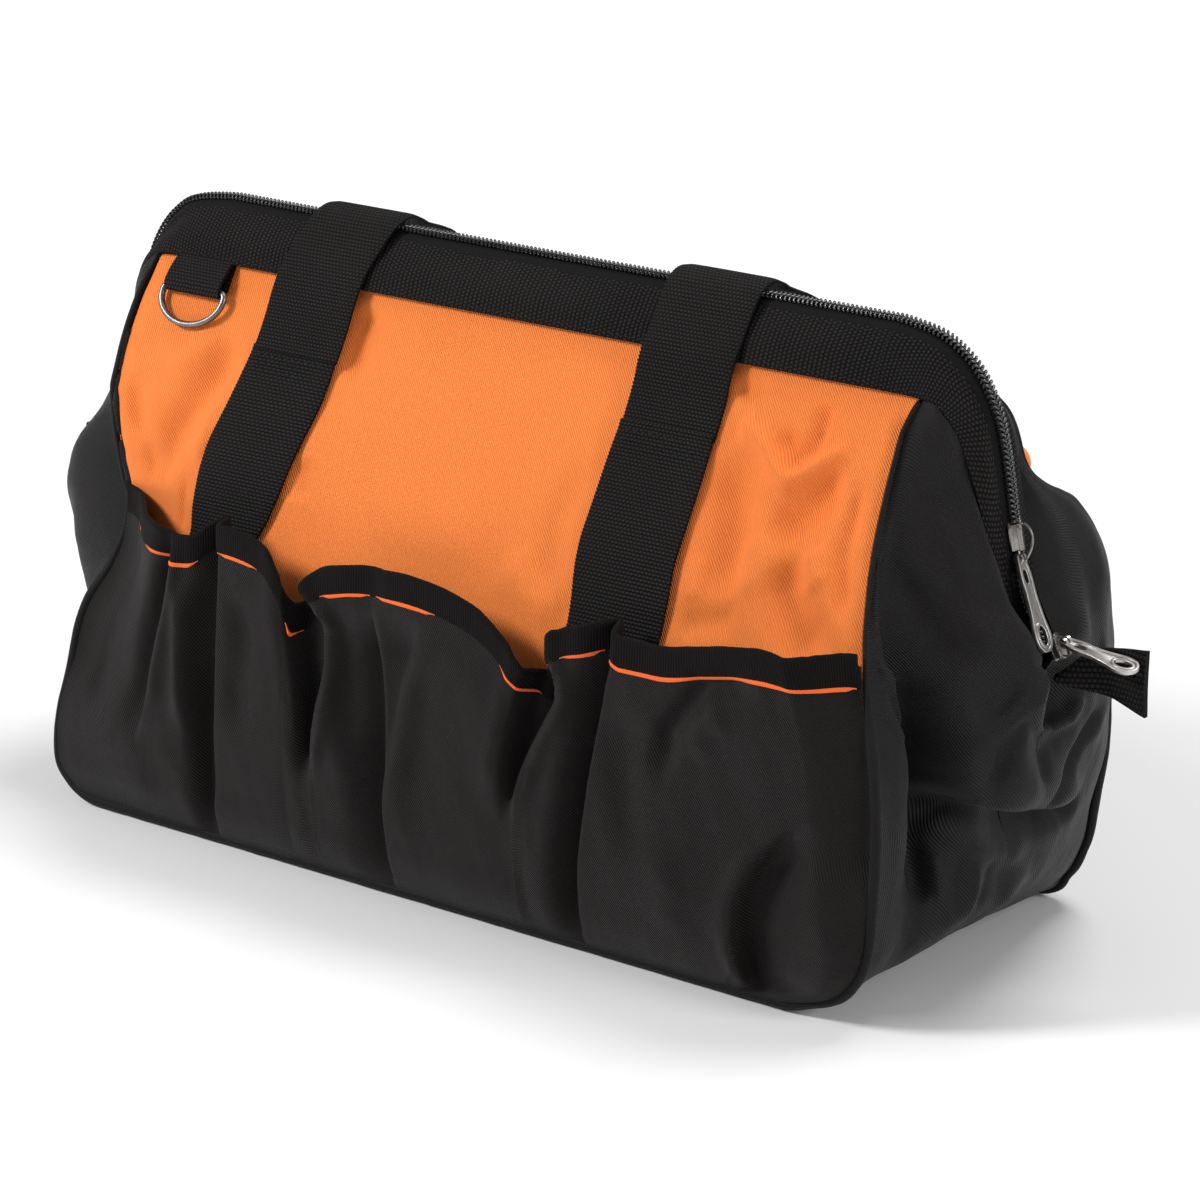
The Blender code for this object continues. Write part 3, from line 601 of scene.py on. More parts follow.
def swell(s, q, side):
    """Soft folds of the leaning cloth."""
    s, q = np.broadcast_arrays(np.asarray(s, float), np.asarray(q, float))
    up = smooth((q - 96) / 30) * smooth((236 - q) / 12)
    k = 11 if side == FRONT else 47
    w = 1.0 * noise2(s / 52, q / 95, k) + 0.55 * noise2(s / 23 + q / 90, q / 60, k + 1)
    w = w + 0.22 * noise2(s / 9 + q / 30, q / 24, k + 2)
    if side == FRONT:
        for line, wid, amp, fd in (
                ([(93, 220), (116, 211), (132, 201), (142, 197), (152, 201), (164, 208), (178, 215)],
                 5.0, 5.0, .14), ([(124, 214), (141, 207), (158, 215)], 4.5, -2.6, .25),
                ([(112, 234), (99, 224)], 5, -2.8, .3), ([(106, 208), (116, 178), (124, 145)], 10, -5.0, .35),
                ([(150, 229), (152, 212)], 6, -2.6, .3), ([(134, 176), (154, 186), (178, 206)], 8.5, -5.0, .3),
                ([(146, 172), (160, 152), (182, 134)], 11, -5.4, .3), ([(130, 200), (141, 172), (148, 146)], 9, 2.4, .35),
                ([(186, 206), (184, 176), (190, 148)], 6, -3.0, .25), ([(164, 176), (172, 158)], 7, 2.4, .3), ([(103, 136), (136, 146)], 6, -2.4, .3),
                ([(107, 165), (108, 144)], 4, 1.4, .3), ([(128, 176), (136, 150)], 7, 1.6, .3),
                ([(-138, 210), (-152, 182), (-161, 165), (-168, 146)], 8.5, -5.6, .28),
                ([(-152, 214), (-172, 186)], 8, 2.6, .35), ([(-134, 188), (-146, 150)], 7, 2.8, .35),
                ([(-189, 188), (-186, 158)], 7, -3.0, .35), ([(-186, 152), (-158, 148)], 7, -2.6, .35),
                ([(-151, 150), (-146, 122)], 3.2, -1.8, .35), ([(-79, 237), (-79, 198)], 7, -4.0, .3),
                ([(-88, 168), (-84, 148)], 5, -1.8, .3), ([(-60, 160), (-20, 150), (20, 158)], 16, 1.6, .3),
                ([(-55, 206), (-20, 222), (30, 226)], 12, -1.4, .3), ([(20, 146), (56, 128)], 9, 1.6, .3),
                ([(46, 190), (40, 160), (46, 132)], 7, -1.6, .3)):
            w = w + crease(s, q, line, wid, amp, fd)
    else:
        w = w + 6.5 * np.exp(-((q - 168) / 34) ** 2) * smooth((200 - np.abs(s)) / 40)
        w = w + crease(s, q, [(-150, 210), (-120, 180), (-112, 150)], 9, -2.4, .3)
        w = w + crease(s, q, [(-20, 215), (10, 180), (14, 150)], 10, -2.0, .3)
        w = w + crease(s, q, [(150, 200), (165, 170), (160, 140)], 8, -2.4, .3)
        w = w + crease(s, q, [(60, 218), (40, 190)], 8, 1.6, .3)
    ends = smooth((200 - np.abs(s)) / 9)
    w = w * ends - 1.6 * (1 - ends)
    if side == BACK:
        # the cloth rounds over the ends just under the band
        top = np.exp(-((q - 199) / 15) ** 2)
        w = w + top * 3.0 * bump(np.abs(s), 178, 26)
    if side == FRONT:
        ring = smooth(1 - np.hypot((s + 167) / 24, (q - 214) / 26))
    else:
        ring = smooth(1 - np.hypot((s - 167) / 24, (q - 214) / 26))
    w = np.where(ring > 0, w * (1 - ring) + np.minimum(w, 0.4) * ring, w)
    for cx in ((-111.0, 79.0) if side == FRONT else STRAP_X):
        k = smooth((33 - np.abs(s - cx)) / 7)
        w = w * (1 - k) + np.minimum(w, 0.5) * k
    return w * up


def wall(s, q, w=0.0, side=FRONT, folds=True):
    """A point of the wall cloth, w out of its own face."""
    s, q, w = np.broadcast_arrays(np.asarray(s, float), np.asarray(q, float), np.asarray(w, float))
    y, z, ny, nz = profile(q)
    if folds:
        w = w + swell(s, q, side)
    w = w - roll(s, q, side)
    yy = y + w * ny + recess(s, q, side)
    return np.stack([sx(s, q, side), yy if side == FRONT else -yy, z + w * nz], -1)


def wall_normal(q, side):
    _, _, ny, nz = profile(q)
    return np.stack([np.zeros_like(ny), ny if side == FRONT else -ny, nz], -1)


def soft(ob, side, *nodes, slot=None):
    """Cloth shaped on a leaning wall: bakes its placement into the mesh and hides the parts it replaces."""
    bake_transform(ob)
    if nodes:
        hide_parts(*nodes)
    return ob


WORD = {FRONT: "front", BACK: "back"}


# ============================ wall panels =====================================
def upper_panel(side):
    s = np.linspace(-199.4, 199.4, 261)
    q = np.linspace(97, 236.6, 110)
    S, Q = np.meshgrid(s, q)
    P = wall(S, Q, 0.0, side)
    uv = np.stack([P[..., 0], Q], 2)
    ob = shell(WORD[side] + "_upper_panel_cloth", P, 1.6, ORANGE, (0, side, .4), uv)
    soft(ob, side, WORD[side] + "_upper_panel", slot="orange_cloth")
    return ob


def lower_panel(side):
    s = np.linspace(-199, 199, 121)
    q = np.linspace(3.0, 101, 50)
    S, Q = np.meshgrid(s, q)
    P = wall(S, Q, -0.4, side, folds=False)
    uv = np.stack([P[..., 0], Q], 2)
    ob = shell(WORD[side] + "_lower_panel_cloth", P, 1.8, LINING, (0, side, 0), uv)
    soft(ob, side, WORD[side] + "_lower_panel", slot="black_cloth")
    return ob


# ============================ pockets =========================================
DIV = {1: ([8, 60, 123, 145], [-112.5, -107.5, -102.5, -102]),
       2: ([8, 123, 145], [-20.5, -21.5, -21.5]),
       3: ([8, 30, 57, 88, 111, 124, 145], [72.5, 73.6, 77, 82.5, 87.5, 90.5, 91])}


def division(i, z):
    if i == 0:
        return np.full(np.shape(z), -200.0)
    if i == 4:
        return np.full(np.shape(z), 200.0)
    return curve(*DIV[i], z)


HEM = {FRONT: ([-200, -180, -163, -145, -133, -122, -113, -107, -103, -98, -87, -77, -70, -65.5,
                -62.5, -59, -55, -48, -38, -27, -19, -4, 8, 23, 35, 44, 52, 56.5, 59.5, 61, 64,
                71, 80, 88, 92.5, 99, 114, 134, 152, 168, 185, 200],
               [133, 132.5, 132.5, 132, 131, 130, 131, 136, 138.5, 138.5, 138, 135.5, 131, 122,
                112, 114.5, 123, 129.5, 133, 135, 135.5, 136.5, 135.5, 132.5, 127.5, 121, 113.5, 109,
                108.5, 115, 124.5, 130, 133, 135, 134.5, 132, 132, 135, 138, 139.8, 139, 137])}
HEM[BACK] = ([-200, -170, -140, -112, -103, -98, -80, -62, -57, -51, -35, -21, -14, 6, 26, 33, 39,
              60, 73, 80, 100, 128, 134, 140, 165, 185, 200],
             [134, 132, 134, 131, 136, 137, 134, 128, 121, 127, 134, 133, 137, 133, 127, 119, 126,
              134, 132, 137, 135, 129, 123, 129, 136, 136, 134])


def hem(s, side):
    return curve(*HEM[side], s)


def puff(s, z, side):
    """How far the pocket cloth stands out of the wall's plane y = -77."""
    s, z = np.broadcast_arrays(np.asarray(s, float), np.asarray(z, float))
    rise = curve([0, 3, 7, 14, 30, 60, 100, 140], [.02, .10, .34, .60, .86, 1.0, 1.0, .95], z)
    k = 3 if side == FRONT else 29
    D = np.zeros(s.shape)
    for i in range(4):
        a, b = division(i, z), division(i + 1, z)
        inside = (s >= a) & (s <= b) if i == 3 else (s >= a) & (s < b)
        left = 60.0 if i == 0 else 5.5
        right = (14.0, 24.0, 15.0, 14.0)[i]
        top = 13.4 if i else 12.4
        val_l = 0.6 if i == 0 else 2.2
        val_r = 1.2 if i == 3 else (.5 if i == 0 else 1.4)
        if side == FRONT:
            # the second division closes up towards the hem
            shut = smooth((z - 96) / 26.0) * 8.6
            if i == 1:
                val_r = val_r + shut
            if i == 2:
                val_l = val_l + shut
        ul = np.sin(np.clip((s - a) / left, 0, 1) * math.pi / 2) ** (1.0 if i else 0.8)
        ur = np.sin(np.clip((b - s) / right, 0, 1) * math.pi / 2) ** (0.95 if i != 3 else 0.7)
        d = -0.9 * np.log(np.exp(-(val_l + (top - val_l) * ul) / 0.9)
                          + np.exp(-(val_r + (top - val_r) * ur) / 0.9))
        D = np.where(inside, d, D)
    if side == FRONT:
        near = smooth((z - 112) / 14) * np.exp(-((s - division(2, z)) / 7.0) ** 2)
        D = D * (1 - near) + 10.0 * near
    D = D * rise
    if side == FRONT:
        # pleat folds that drop from the notches in the hem, each with a sharp right lip
        for zs, lip_l, lip_r, dep in (
                ([38, 56, 75, 95, 106, 115, 124], [-57, -57.5, -58, -60.5, -62.5, -63, -62.6],
                 [-57, -54.5, -50, -45.5, -45.5, -52, -60.5], 10.4),
                ([46, 62, 80, 95, 104, 112, 120], [44, 44.5, 47, 50.5, 53, 57, 59.5],
                 [44, 48, 55, 63, 67.5, 66, 61.5], 10.2)):
            a_, b_ = curve(zs, lip_l, z), curve(zs, lip_r, z)
            env = smooth((z - zs[0]) / 26.0)
            inside = smooth((s - a_ + 2.6) / 5.2) * smooth((b_ - s + 1.6) / 3.2)
            slot = np.exp(-((s - (a_ + b_) / 2) / 3.0) ** 2) * 0.75
            D = D - dep * env * np.maximum(inside, slot * np.exp(-np.maximum(b_ - a_ - 2, 0) / 4))
            D = D + 1.8 * env * np.exp(-((s - a_ + 7) / 5.0) ** 2)
            D = D + 1.8 * env * np.exp(-((s - b_ - 5) / 4.0) ** 2)
        ln = np.asarray([(-126, 132), (-130, 115), (-135, 98), (-141, 78), (-150, 40)], float)
        r = s - curve(ln[::-1, 1], ln[::-1, 0], z)
        env = smooth((z - 36) / 30.0) * smooth((134 - z) / 22)
        D = D - 8.0 * env * np.where(r < 0, np.exp(-(r / 9.0) ** 2), np.exp(-(r / 2.2) ** 2))
        D = D + 2.2 * env * np.exp(-((r - 6) / 4.5) ** 2)
        D = D + crease(s, z, [(-108, 122), (-112, 90), (-113, 51), (-108, 16)], 5.5, -3.4, .2)
        D = D + crease(s, z, [(-119, 116), (-121, 88), (-123, 46)], 5.0, 3.6, .3)
        D = D + crease(s, z, [(-168, 124), (-172, 100), (-178, 70), (-180, 44)], 5, -4.2, .25)
        ln = np.asarray([(5, 132), (1, 121), (-6, 102), (-13, 80), (-18, 54), (-20.5, 30)], float)
        r = s - curve(ln[::-1, 1], ln[::-1, 0], z)
        env = smooth((z - 30) / 40.0) * smooth((124 - z) / 20) * smooth((s - division(2, z)) / 4)
        D = D - 5.0 * env * np.where(r < 0, np.exp(-(r / 13.0) ** 2), np.exp(-(r / 3.6) ** 2))
        D = D + 1.6 * env * np.exp(-((r - 9) / 6.0) ** 2)
        D = D + crease(s, z, [(-84, 120), (-88, 84), (-92, 50)], 7, -2.8, .35)
        D = D + crease(s, z, [(-38, 126), (-36, 90), (-34, 50)], 6, -2.4, .35)
        D = D + crease(s, z, [(2, 124), (4, 84), (0, 44)], 8, -1.2, .35)
        D = D + crease(s, z, [(28, 112), (38, 84), (36, 50)], 9, 1.4, .35)
        # dent low in the right-hand pocket, with a curved lip on its left
        r = s - curve([8, 20, 33, 44, 58, 72, 84], [161, 153, 150.5, 152, 158, 169, 182], z)
        env = smooth((z - 4) / 9.0) * smooth((82 - z) / 26.0)
        D = D - 7.8 * env * smooth((r + 1.2) / 3.0) * np.exp(-(np.maximum(r - 5, 0) / 17) ** 2)
        D = D + 2.0 * env * np.exp(-((r + 4.5) / 4.5) ** 2)
        D = D + crease(s, z, [(115, 78), (120, 102), (136, 121), (166, 128)], 5.0, -4.2, .22)
        D = D + crease(s, z, [(130, 92), (136, 106), (150, 116)], 6, 1.8, .3)
        D = D + crease(s, z, [(104, 112), (100, 80), (104, 44)], 8, -1.8, .3)
        D = D + crease(s, z, [(112, 60), (122, 40), (118, 18)], 8, 1.6, .3)
    else:
        for xn in (-57, 33, 134):
            r = s - (xn - 5 * smooth((110 - z) / 60))
            env = smooth((z - 46) / 40.0)
            D = D - 6.4 * env * np.where(r < 0, np.exp(-(r / 9) ** 2), np.exp(-(r / 2.4) ** 2))
        D = D + crease(s, z, [(-150, 116), (-140, 80), (-150, 40)], 8, -2.6, .3)
        D = D + crease(s, z, [(110, 110), (100, 70), (112, 36)], 9, -2.2, .3)
        D = D + crease(s, z, [(10, 112), (0, 80), (8, 44)], 8, -1.6, .3)
    fade = rise * smooth((200 - np.abs(s)) / 14)
    D = D + fade * (0.8 * noise2(s / 24 + z / 70, z / 50, k) + 0.3 * noise2(s / 11 + z / 40, z / 30, k + 1)
                    + 0.10 * noise2(s / 4.2, z / 9, k + 2))
    low = 1.7 * rise + 0.4
    D = low + 0.8 * np.log1p(np.exp(np.clip((D - low) / 0.8, -30, 30)))
    # near the seams the cloth lies on the wall, which leans above the fold
    y, _, _, _ = profile(z)
    seam = -(y + 77) - recess(s, z, side) + 0.9
    e = np.where(s > 0, smooth((200 - s) / (19 if side == FRONT else 26)),
                 smooth((200 + s) / (72 if side == FRONT else 26)))
    e = np.where(z < 70, e + (1 - e) * smooth((70 - z) / 40), e)
    lo = np.minimum(D, 89.5)
    D = lo * e + seam * (1 - e)
    return np.maximum(D, seam - 0.1)


def pocket_point(s, z, side):
    D = puff(s, z, side)
    y = -77 - D
    return np.stack([sx(s, z, side), y if side == FRONT else -y, z], -1)


def pocket_normal(s, z, side):
    e = 0.6
    a = pocket_point(s + e, z, side) - pocket_point(s - e, z, side)
    b = pocket_point(s, z + e, side) - pocket_point(s, z - e, side)
    n = unit(np.cross(a, b))
    f = np.sign(n[..., 1:2] * side)
    f[f == 0] = 1
    return n * f


def pockets(side):
    for i in range(4):
        v = np.linspace(0, 1, 100)
        n = 110 if i in (0, 3) else 104
        u = np.linspace(0, 1, n)
        # more columns near the steep left lip
        u = u ** 1.12 if i else u
        z0 = 2.6
        am = division(i, np.full(1, 130.0))[0]
        bm = division(i + 1, np.full(1, 130.0))[0]
        top = hem(am + (bm - am) * u, side) - 3.0
        Z = z0 + (top[None, :] - z0) * (v[:, None] ** 0.9)
        A, B = division(i, Z), division(i + 1, Z)
        S = A + (B - A) * u[None, :]
        S = np.where(u[None, :] == 1, B - (1e-6 if i < 3 else 0), S)
        P = pocket_point(S, Z, side)
        uv = uv_of(P)
        name = "%s_pocket_%d" % (WORD[side], i + 1)
        ob = shell(name + "_cloth", P, 1.1, POCKET, (0, side, 0), uv, sharp=70)
        soft(ob, side, name, slot="black_cloth")


def hem_run(side, n=900):
    """Even run along the hem."""
    s = np.linspace(-199.0, 199.0, 4000)
    z = hem(s, side)
    P = pocket_point(s, z, side)
    d = np.r_[0, np.cumsum(np.linalg.norm(np.diff(P, axis=0), axis=1))]
    t = np.linspace(0, d[-1], n)
    ss = np.interp(t, d, s)
    return ss, hem(ss, side), t


def binding(side):
    s, z, t = hem_run(side)
    n = len(s)
    down = np.array([10.6, 8.4, 6.2, 4.0, 2.0, 0.4])
    wav = 0.25 * noise2(t / 9, 0 * t, 5) + 0.12 * noise2(t / 3.3, 0 * t, 6)
    nor = pocket_normal(s, z - 3.0, side)
    # keep the lip upright in the tight notches
    k = np.ones(15) / 15
    nor = unit(np.stack([np.convolve(np.pad(nor[:, c], 7, mode="edge"), k, "valid")
                         for c in range(3)], 1))
    rings, uvs = [], []
    for dz in down:
        p = pocket_point(s, z - dz + (wav if dz < 9 else 0), side)
        rings.append(p + nor * (0.75 if dz < 10 else 0.45))
        uvs.append(np.stack([t, -dz + 0 * t], 1))
    top = pocket_point(s, z - 0.2 + wav, side)
    for a, h in ((0.35, 0.7), (-0.5, 1.15), (-1.4, 0.75)):
        rings.append(top + nor * a + np.array([0, 0, 1.0]) * h)
        uvs.append(np.stack([t, 1 - a + 0 * t], 1))
    for dz in (0.6, 4.0, 8.6):
        p = pocket_point(s, z - dz + wav, side)
        rings.append(p - nor * 1.85)
        uvs.append(np.stack([t, 3.5 + dz + 0 * t], 1))
    R = np.stack(rings, 1)
    UV = np.stack(uvs, 1)
    ob = loft(WORD[side] + "_pocket_binding_tape", R, BIND, UV, sharp=55)
    soft(ob, side, WORD[side] + "_pocket_binding", slot="black_tape")


def trim(side):
    """Thin orange edge that shows under the binding."""
    s, z, t = hem_run(side, 1500)
    if side == FRONT:
        spans = [(-176, -169), (-150, -111), (-98, -77), (-64.2, -61.0), (-46, -22), (-19, 12),
                 (43, 55), (71, 87), (92, 198)]
    else:
        spans = [(-196, -118), (-99, -66), (-50, -24), (-17, 22), (40, 70), (76, 124), (142, 196)]
    parts = []
    for a, b in spans:
        m = (s >= a) & (s <= b)
        ss, zz, tt = s[m], z[m], t[m]
        if len(ss) < 6:
            continue
        f = (tt - tt[0]) / (tt[-1] - tt[0])
        L = tt[-1] - tt[0]
        taper = smooth(f * L / 5) * smooth((1 - f) * L / 5)
        wd = (1.15 + 0.3 * noise2(tt / 14, 0 * tt, 8)) * np.maximum(taper, 0.12)
        nor = pocket_normal(ss, zz - 11.5, side)
        top = pocket_point(ss, zz - 10.4, side)
        bot = pocket_point(ss, zz - 10.7 - wd, side)
        mid = (top + bot) / 2
        R = np.stack([top + nor * .15, top + nor * .5, mid + nor * (.55 + .1 * taper[:, None]),
                      bot + nor * .35, bot - nor * .1], 1)
        V, F, _ = ring_part(R)
        uv = np.stack(np.broadcast_arrays(tt[:, None], np.arange(5)[None, :] * .5), 2)
        parts.append((V, F, uv.reshape(-1, 2).astype(float)))
    ob = merged(WORD[side] + "_pocket_trim_edge", parts, TRIM, 60)
    soft(ob, side, WORD[side] + "_pocket_trim", slot="orange_cloth")


def piping(side):
    """Corded seam round a long wall."""
    q = np.linspace(234, 3.2, 150)
    w = -0.9
    R = wall(np.full(q.shape, 200.0), q, w, side, folds=False)
    L = wall(np.full(q.shape, -200.0), q, w, side, folds=False)[::-1]
    s = np.linspace(196, -196, 160)
    B = wall(s, np.full(s.shape, 2.7), w, side, folds=False)
    path = np.concatenate([R, B, L])
    path, t = resample(path, step=1.8)
    q_all = path[:, 2]
    path[:, 0] += np.sign(path[:, 0]) * (0.9 + 0.5 * smooth((q_all - 120) / 30)) * smooth(
        (np.abs(path[:, 0]) - 140) / 40)
    path[:, 2] = np.maximum(path[:, 2], 2.45)
    r = 2.15 - 1.3 * smooth((q_all - 108) / 30)
    if side == FRONT:
        r = r + 0.45 * (path[:, 0] < 0) * smooth((q_all - 120) / 30)
    r = r * (1 + 0.05 * noise2(t / 7, 0 * t, 9))
    up_ = 1 - smooth((128 - q_all) / 30)
    path[:, 1] += side * (0.9 * (1 - up_) - 0.3 * up_ + 0.15 * noise2(t / 16, 0 * t, 10))
    path[:, 2] += 0.5 * up_
    ob = tube(WORD[side] + "_piping_cord", path, r, PIPE, 12, up=(0, side, 0))
    soft(ob, side, WORD[side] + "_piping", slot="black_cloth")


def seam_cords(side):
    """Bound seam allowance inside the bag, up both ends of the leaning cloth."""
    q = np.linspace(236, 104, 92)
    for sg, word in ((1, "right"), (-1, "left")):
        path = wall(np.full(q.shape, (198.3 if side == FRONT else 199.7) * sg), q, -2.3, side)
        r = 1.5 if side == FRONT else 2.0
        ob = tube(WORD[side] + "_inner_seam_" + word, path, r, PIPE, 10, up=(0, side, 0))
        soft(ob, side, slot="black_cloth")


# ============================ end gussets =====================================
# Each row is one level of the gusset from the wall's seam to the zip or the
# middle of the end: seam, margin, recess, rising cloth, ridge, zip edge.
RF = [
    [(157, -75, 1), (158, -60, 1), (157, -46, 1), (156, -38, 1), (155.5, -25, 1), (155, -10, 1), (155, 0, 1)],
    [(168, -75, 3.2), (170, -60, 3), (169.5, -46, 3), (169, -38, 3), (169, -25, 3), (169, -10, 3), (169, 0, 3)],
    [(189, -75, 14), (190, -60, 13), (189, -46, 12.5), (189, -38, 12), (188.5, -25, 12), (188, -10, 12), (188, 0, 12)],
    [(198, -75, 27), (199, -60, 27), (196.5, -45, 26), (198.5, -38, 26), (201.5, -25, 26), (203, -10, 26), (203, 0, 26)],
    [(200.5, -75, 44), (201, -58, 44), (194.5, -39, 44), (198.5, -33.5, 44), (205, -24, 44), (207, -10, 44), (207, 0, 44)],
    [(201, -75, 59), (201.5, -57, 59), (189.5, -38.5, 59), (196, -32.5, 59), (205, -24, 58), (209, -10, 58), (210, 0, 58)],
    [(201, -75, 76), (201.5, -56.5, 76), (187.5, -38.5, 76), (202.5, -33.5, 77), (217, -22, 77), (222.5, -10, 77), (222, 0, 77)],
    [(200, -75, 100), (200.5, -56, 100), (187, -40, 101), (204, -35, 102), (219, -24, 104), (225, -12, 103), (220, 0, 99)],
    [(195, -73, 118), (196, -56, 118), (188, -44, 119), (203, -38, 121), (220.5, -24.5, 124), (229.5, -13, 123), (217, 0, 112)],
    [(188, -66.5, 131), (190.5, -54, 132), (186, -46, 133), (200.5, -36.5, 135), (218.4, -24.4, 137), (226.6, -13.4, 135.5), (225, -4.2, 129)],
    [(181, -55.5, 150), (183.5, -49.5, 151), (184, -43, 152), (195, -34, 153), (208.6, -23.6, 153.5), (216.6, -15, 151), (211.4, -10, 149)],
    [(176, -42.3, 173), (178.4, -37.8, 173.5), (181.5, -33.4, 174), (188.4, -28.2, 174.5), (199.6, -20.8, 174), (208.2, -15.8, 172.5), (204.6, -12.2, 172)],
    [(173.5, -29, 196), (176.2, -26.2, 196), (179.6, -24.6, 196), (184.4, -22.4, 196), (191.4, -18.8, 196), (197.2, -16.2, 195.5), (198.2, -13.2, 194.5)],
    [(173, -20, 212), (175.6, -18.0, 212.3), (178.6, -17.4, 213), (182.6, -17.6, 214), (188, -17.6, 214), (191.6, -16.8, 212), (192.5, -14.2, 209.5)],
    [(177, -16.5, 219.8), (178.4, -14.2, 220), (180, -15.0, 220.2), (182.4, -16.2, 219.8), (184.5, -16.9, 218.9), (186, -16.4, 217.8), (186.5, -14.8, 216.4)],
]
RB = [
    [(155, 0, 1), (155.5, 10, 1), (156, 25, 1), (158, 45, 1), (162, 62, 1), (166, 75, 1)],
    [(169, 0, 3), (169.5, 10, 3), (170, 25, 3), (172, 45, 3), (176, 62, 3), (178, 75, 3)],
    [(188, 0, 12), (188.5, 10, 12), (189.5, 25, 12), (191, 45, 12), (191.5, 62, 12.5), (188.5, 75, 12.5)],
    [(203, 0, 26), (203, 10, 26), (203, 25, 26), (203, 45, 26.5), (201.5, 62, 27), (195.5, 75, 26.5)],
    [(207, 0, 44), (208.5, 10, 44), (211, 25, 44), (210, 45, 44), (206.5, 62, 44), (199.5, 75, 44)],
    [(210, 0, 58), (212, 10, 58), (216, 25, 58), (214.5, 45, 58), (210, 62, 58), (202, 75, 58)],
    [(222, 0, 77), (222.5, 10, 77), (221, 25, 76), (218, 45, 74.5), (213, 62, 73), (204, 75, 72)],
    [(220, 0, 99), (219, 9, 97), (225, 25, 101), (221.5, 45, 99), (214, 62, 96), (205, 75, 94)],
    [(217, 0, 112), (214, 9, 112), (226, 25, 114), (223.5, 45, 114), (213.5, 63, 114), (203.5, 75.5, 114)],
    [(225, 4.2, 129), (228, 13, 131), (228, 27, 132), (222.5, 46, 132), (211.5, 60, 132), (197, 68, 131)],
    [(213.5, 9, 149), (219, 18, 151), (222, 32, 151), (218.5, 48, 151), (206, 60, 150), (188.5, 60.5, 151)],
    [(205.5, 11.5, 172), (210.5, 19, 173), (212.5, 30, 173), (210.5, 40, 173), (203.5, 46, 173), (192, 43, 173)],
    [(198.5, 12.8, 194.5), (200.2, 14.6, 193), (201.2, 16.8, 192), (201.4, 19.2, 191.2), (200.8, 21.4, 190.5), (198, 23, 190)],
    [(192.5, 14.2, 209.5), (192.5, 16.5, 211), (191.5, 19, 211), (190, 21, 211), (189, 23, 211), (187, 23.5, 211)],
    [(186.5, 14.8, 216.4), (186, 16, 218.5), (184, 17, 219.3), (182, 17.5, 219.8), (181, 17.5, 220), (180, 17.5, 220)],
]
LF = [
    [(-172, -75, 1), (-170, -62, 1), (-168, -56, 1), (-166, -45, 1), (-163, -25, 1), (-162, -10, 1), (-162, 0, 1)],
    [(-184, -75, 2.8), (-182, -62, 3), (-181, -56, 3), (-179, -45, 3), (-177, -25, 3), (-176, -10, 3), (-176, 0, 3)],
    [(-196, -75, 10), (-195, -62, 11), (-194, -56, 11), (-193, -45, 11.5), (-192, -25, 12), (-192, -10, 12), (-192, 0, 12)],
    [(-200.5, -75, 22), (-201, -62, 23), (-201, -56, 23), (-202, -45, 24), (-204, -25, 25), (-205, -10, 25), (-205, 0, 25)],
    [(-199, -75, 44), (-202, -63, 44), (-203, -57, 44), (-208, -45, 45), (-214, -25, 46), (-216, -10, 46), (-216, 0, 46)],
    [(-196, -74.5, 57), (-199, -64.5, 57), (-200, -59, 57.5), (-208.5, -47, 58), (-217.5, -26.5, 59), (-220.5, -10, 59.5), (-220.5, 0, 59.5)],
    [(-192, -73.5, 70), (-196, -66, 70), (-197, -61, 71), (-209, -49, 72), (-221, -28, 73), (-225, -10, 73), (-225, 0, 73)],
    [(-187, -66, 92), (-190, -61, 92), (-193, -58.5, 92), (-212, -52, 94), (-227, -33, 96), (-232, -12, 96), (-228, 0, 94)],
    [(-178.5, -60.5, 113), (-181, -57, 113), (-190, -57, 114), (-213, -53, 117), (-231, -35, 119), (-237, -13, 118), (-223, 0, 112)],
    [(-178.5, -56, 135), (-181, -52, 135), (-192, -52, 136), (-213, -47, 138), (-230, -31, 139), (-235, -13.5, 136), (-226, -4.2, 129)],
    [(-187, -50, 151), (-190.5, -47, 151), (-195.5, -44, 152), (-209, -37, 153), (-222, -25, 153), (-227, -14.5, 151), (-219.5, -9, 149)],
    [(-195, -42, 173), (-197, -39, 173), (-199.5, -36, 173), (-206, -28.5, 174), (-213, -20, 173), (-218, -15, 172), (-214.5, -11.5, 171)],
    [(-198, -29, 196), (-199, -27.5, 196), (-200.5, -26, 196), (-203.8, -22.5, 196), (-208, -18.5, 196), (-210.5, -15.8, 195), (-210, -12.8, 194)],
    [(-196, -20, 212), (-196.6, -19.8, 212.4), (-197.3, -19.6, 212.8), (-199.5, -18.9, 213), (-202, -17.9, 212.6), (-204, -16.6, 211), (-203.5, -14.2, 209.5)],
    [(-193.5, -16.5, 219.8), (-193.9, -16.9, 219.9), (-194.5, -17, 219.9), (-195.7, -17, 219.3), (-197, -16.8, 218.6), (-198, -16.3, 217.6), (-198, -14.8, 216.4)],
]


def left_back():
    out = []
    for r, l in zip(RB, LF):
        d = abs(l[-1][0]) - r[0][0]
        n = len(r) - 1
        out.append([(-(x + d * (1 - k / n)), y, z) for k, (x, y, z) in enumerate(r)])
    return out


def control_grid(rows, us, nu, nv):
    C = np.asarray(rows, float)
    u = np.linspace(0, 1, nu)
    A = np.stack([curve(us, C[r], u, limit=False) for r in range(len(C))])
    mid = C[:, C.shape[1] // 2]
    d = np.r_[0, np.cumsum(np.linalg.norm(np.diff(mid, axis=0), axis=1))]
    v = np.linspace(0, d[-1], nv)
    G = curve(d, A.reshape(len(C), -1), v, limit=False).reshape(nv, nu, 3)
    return G


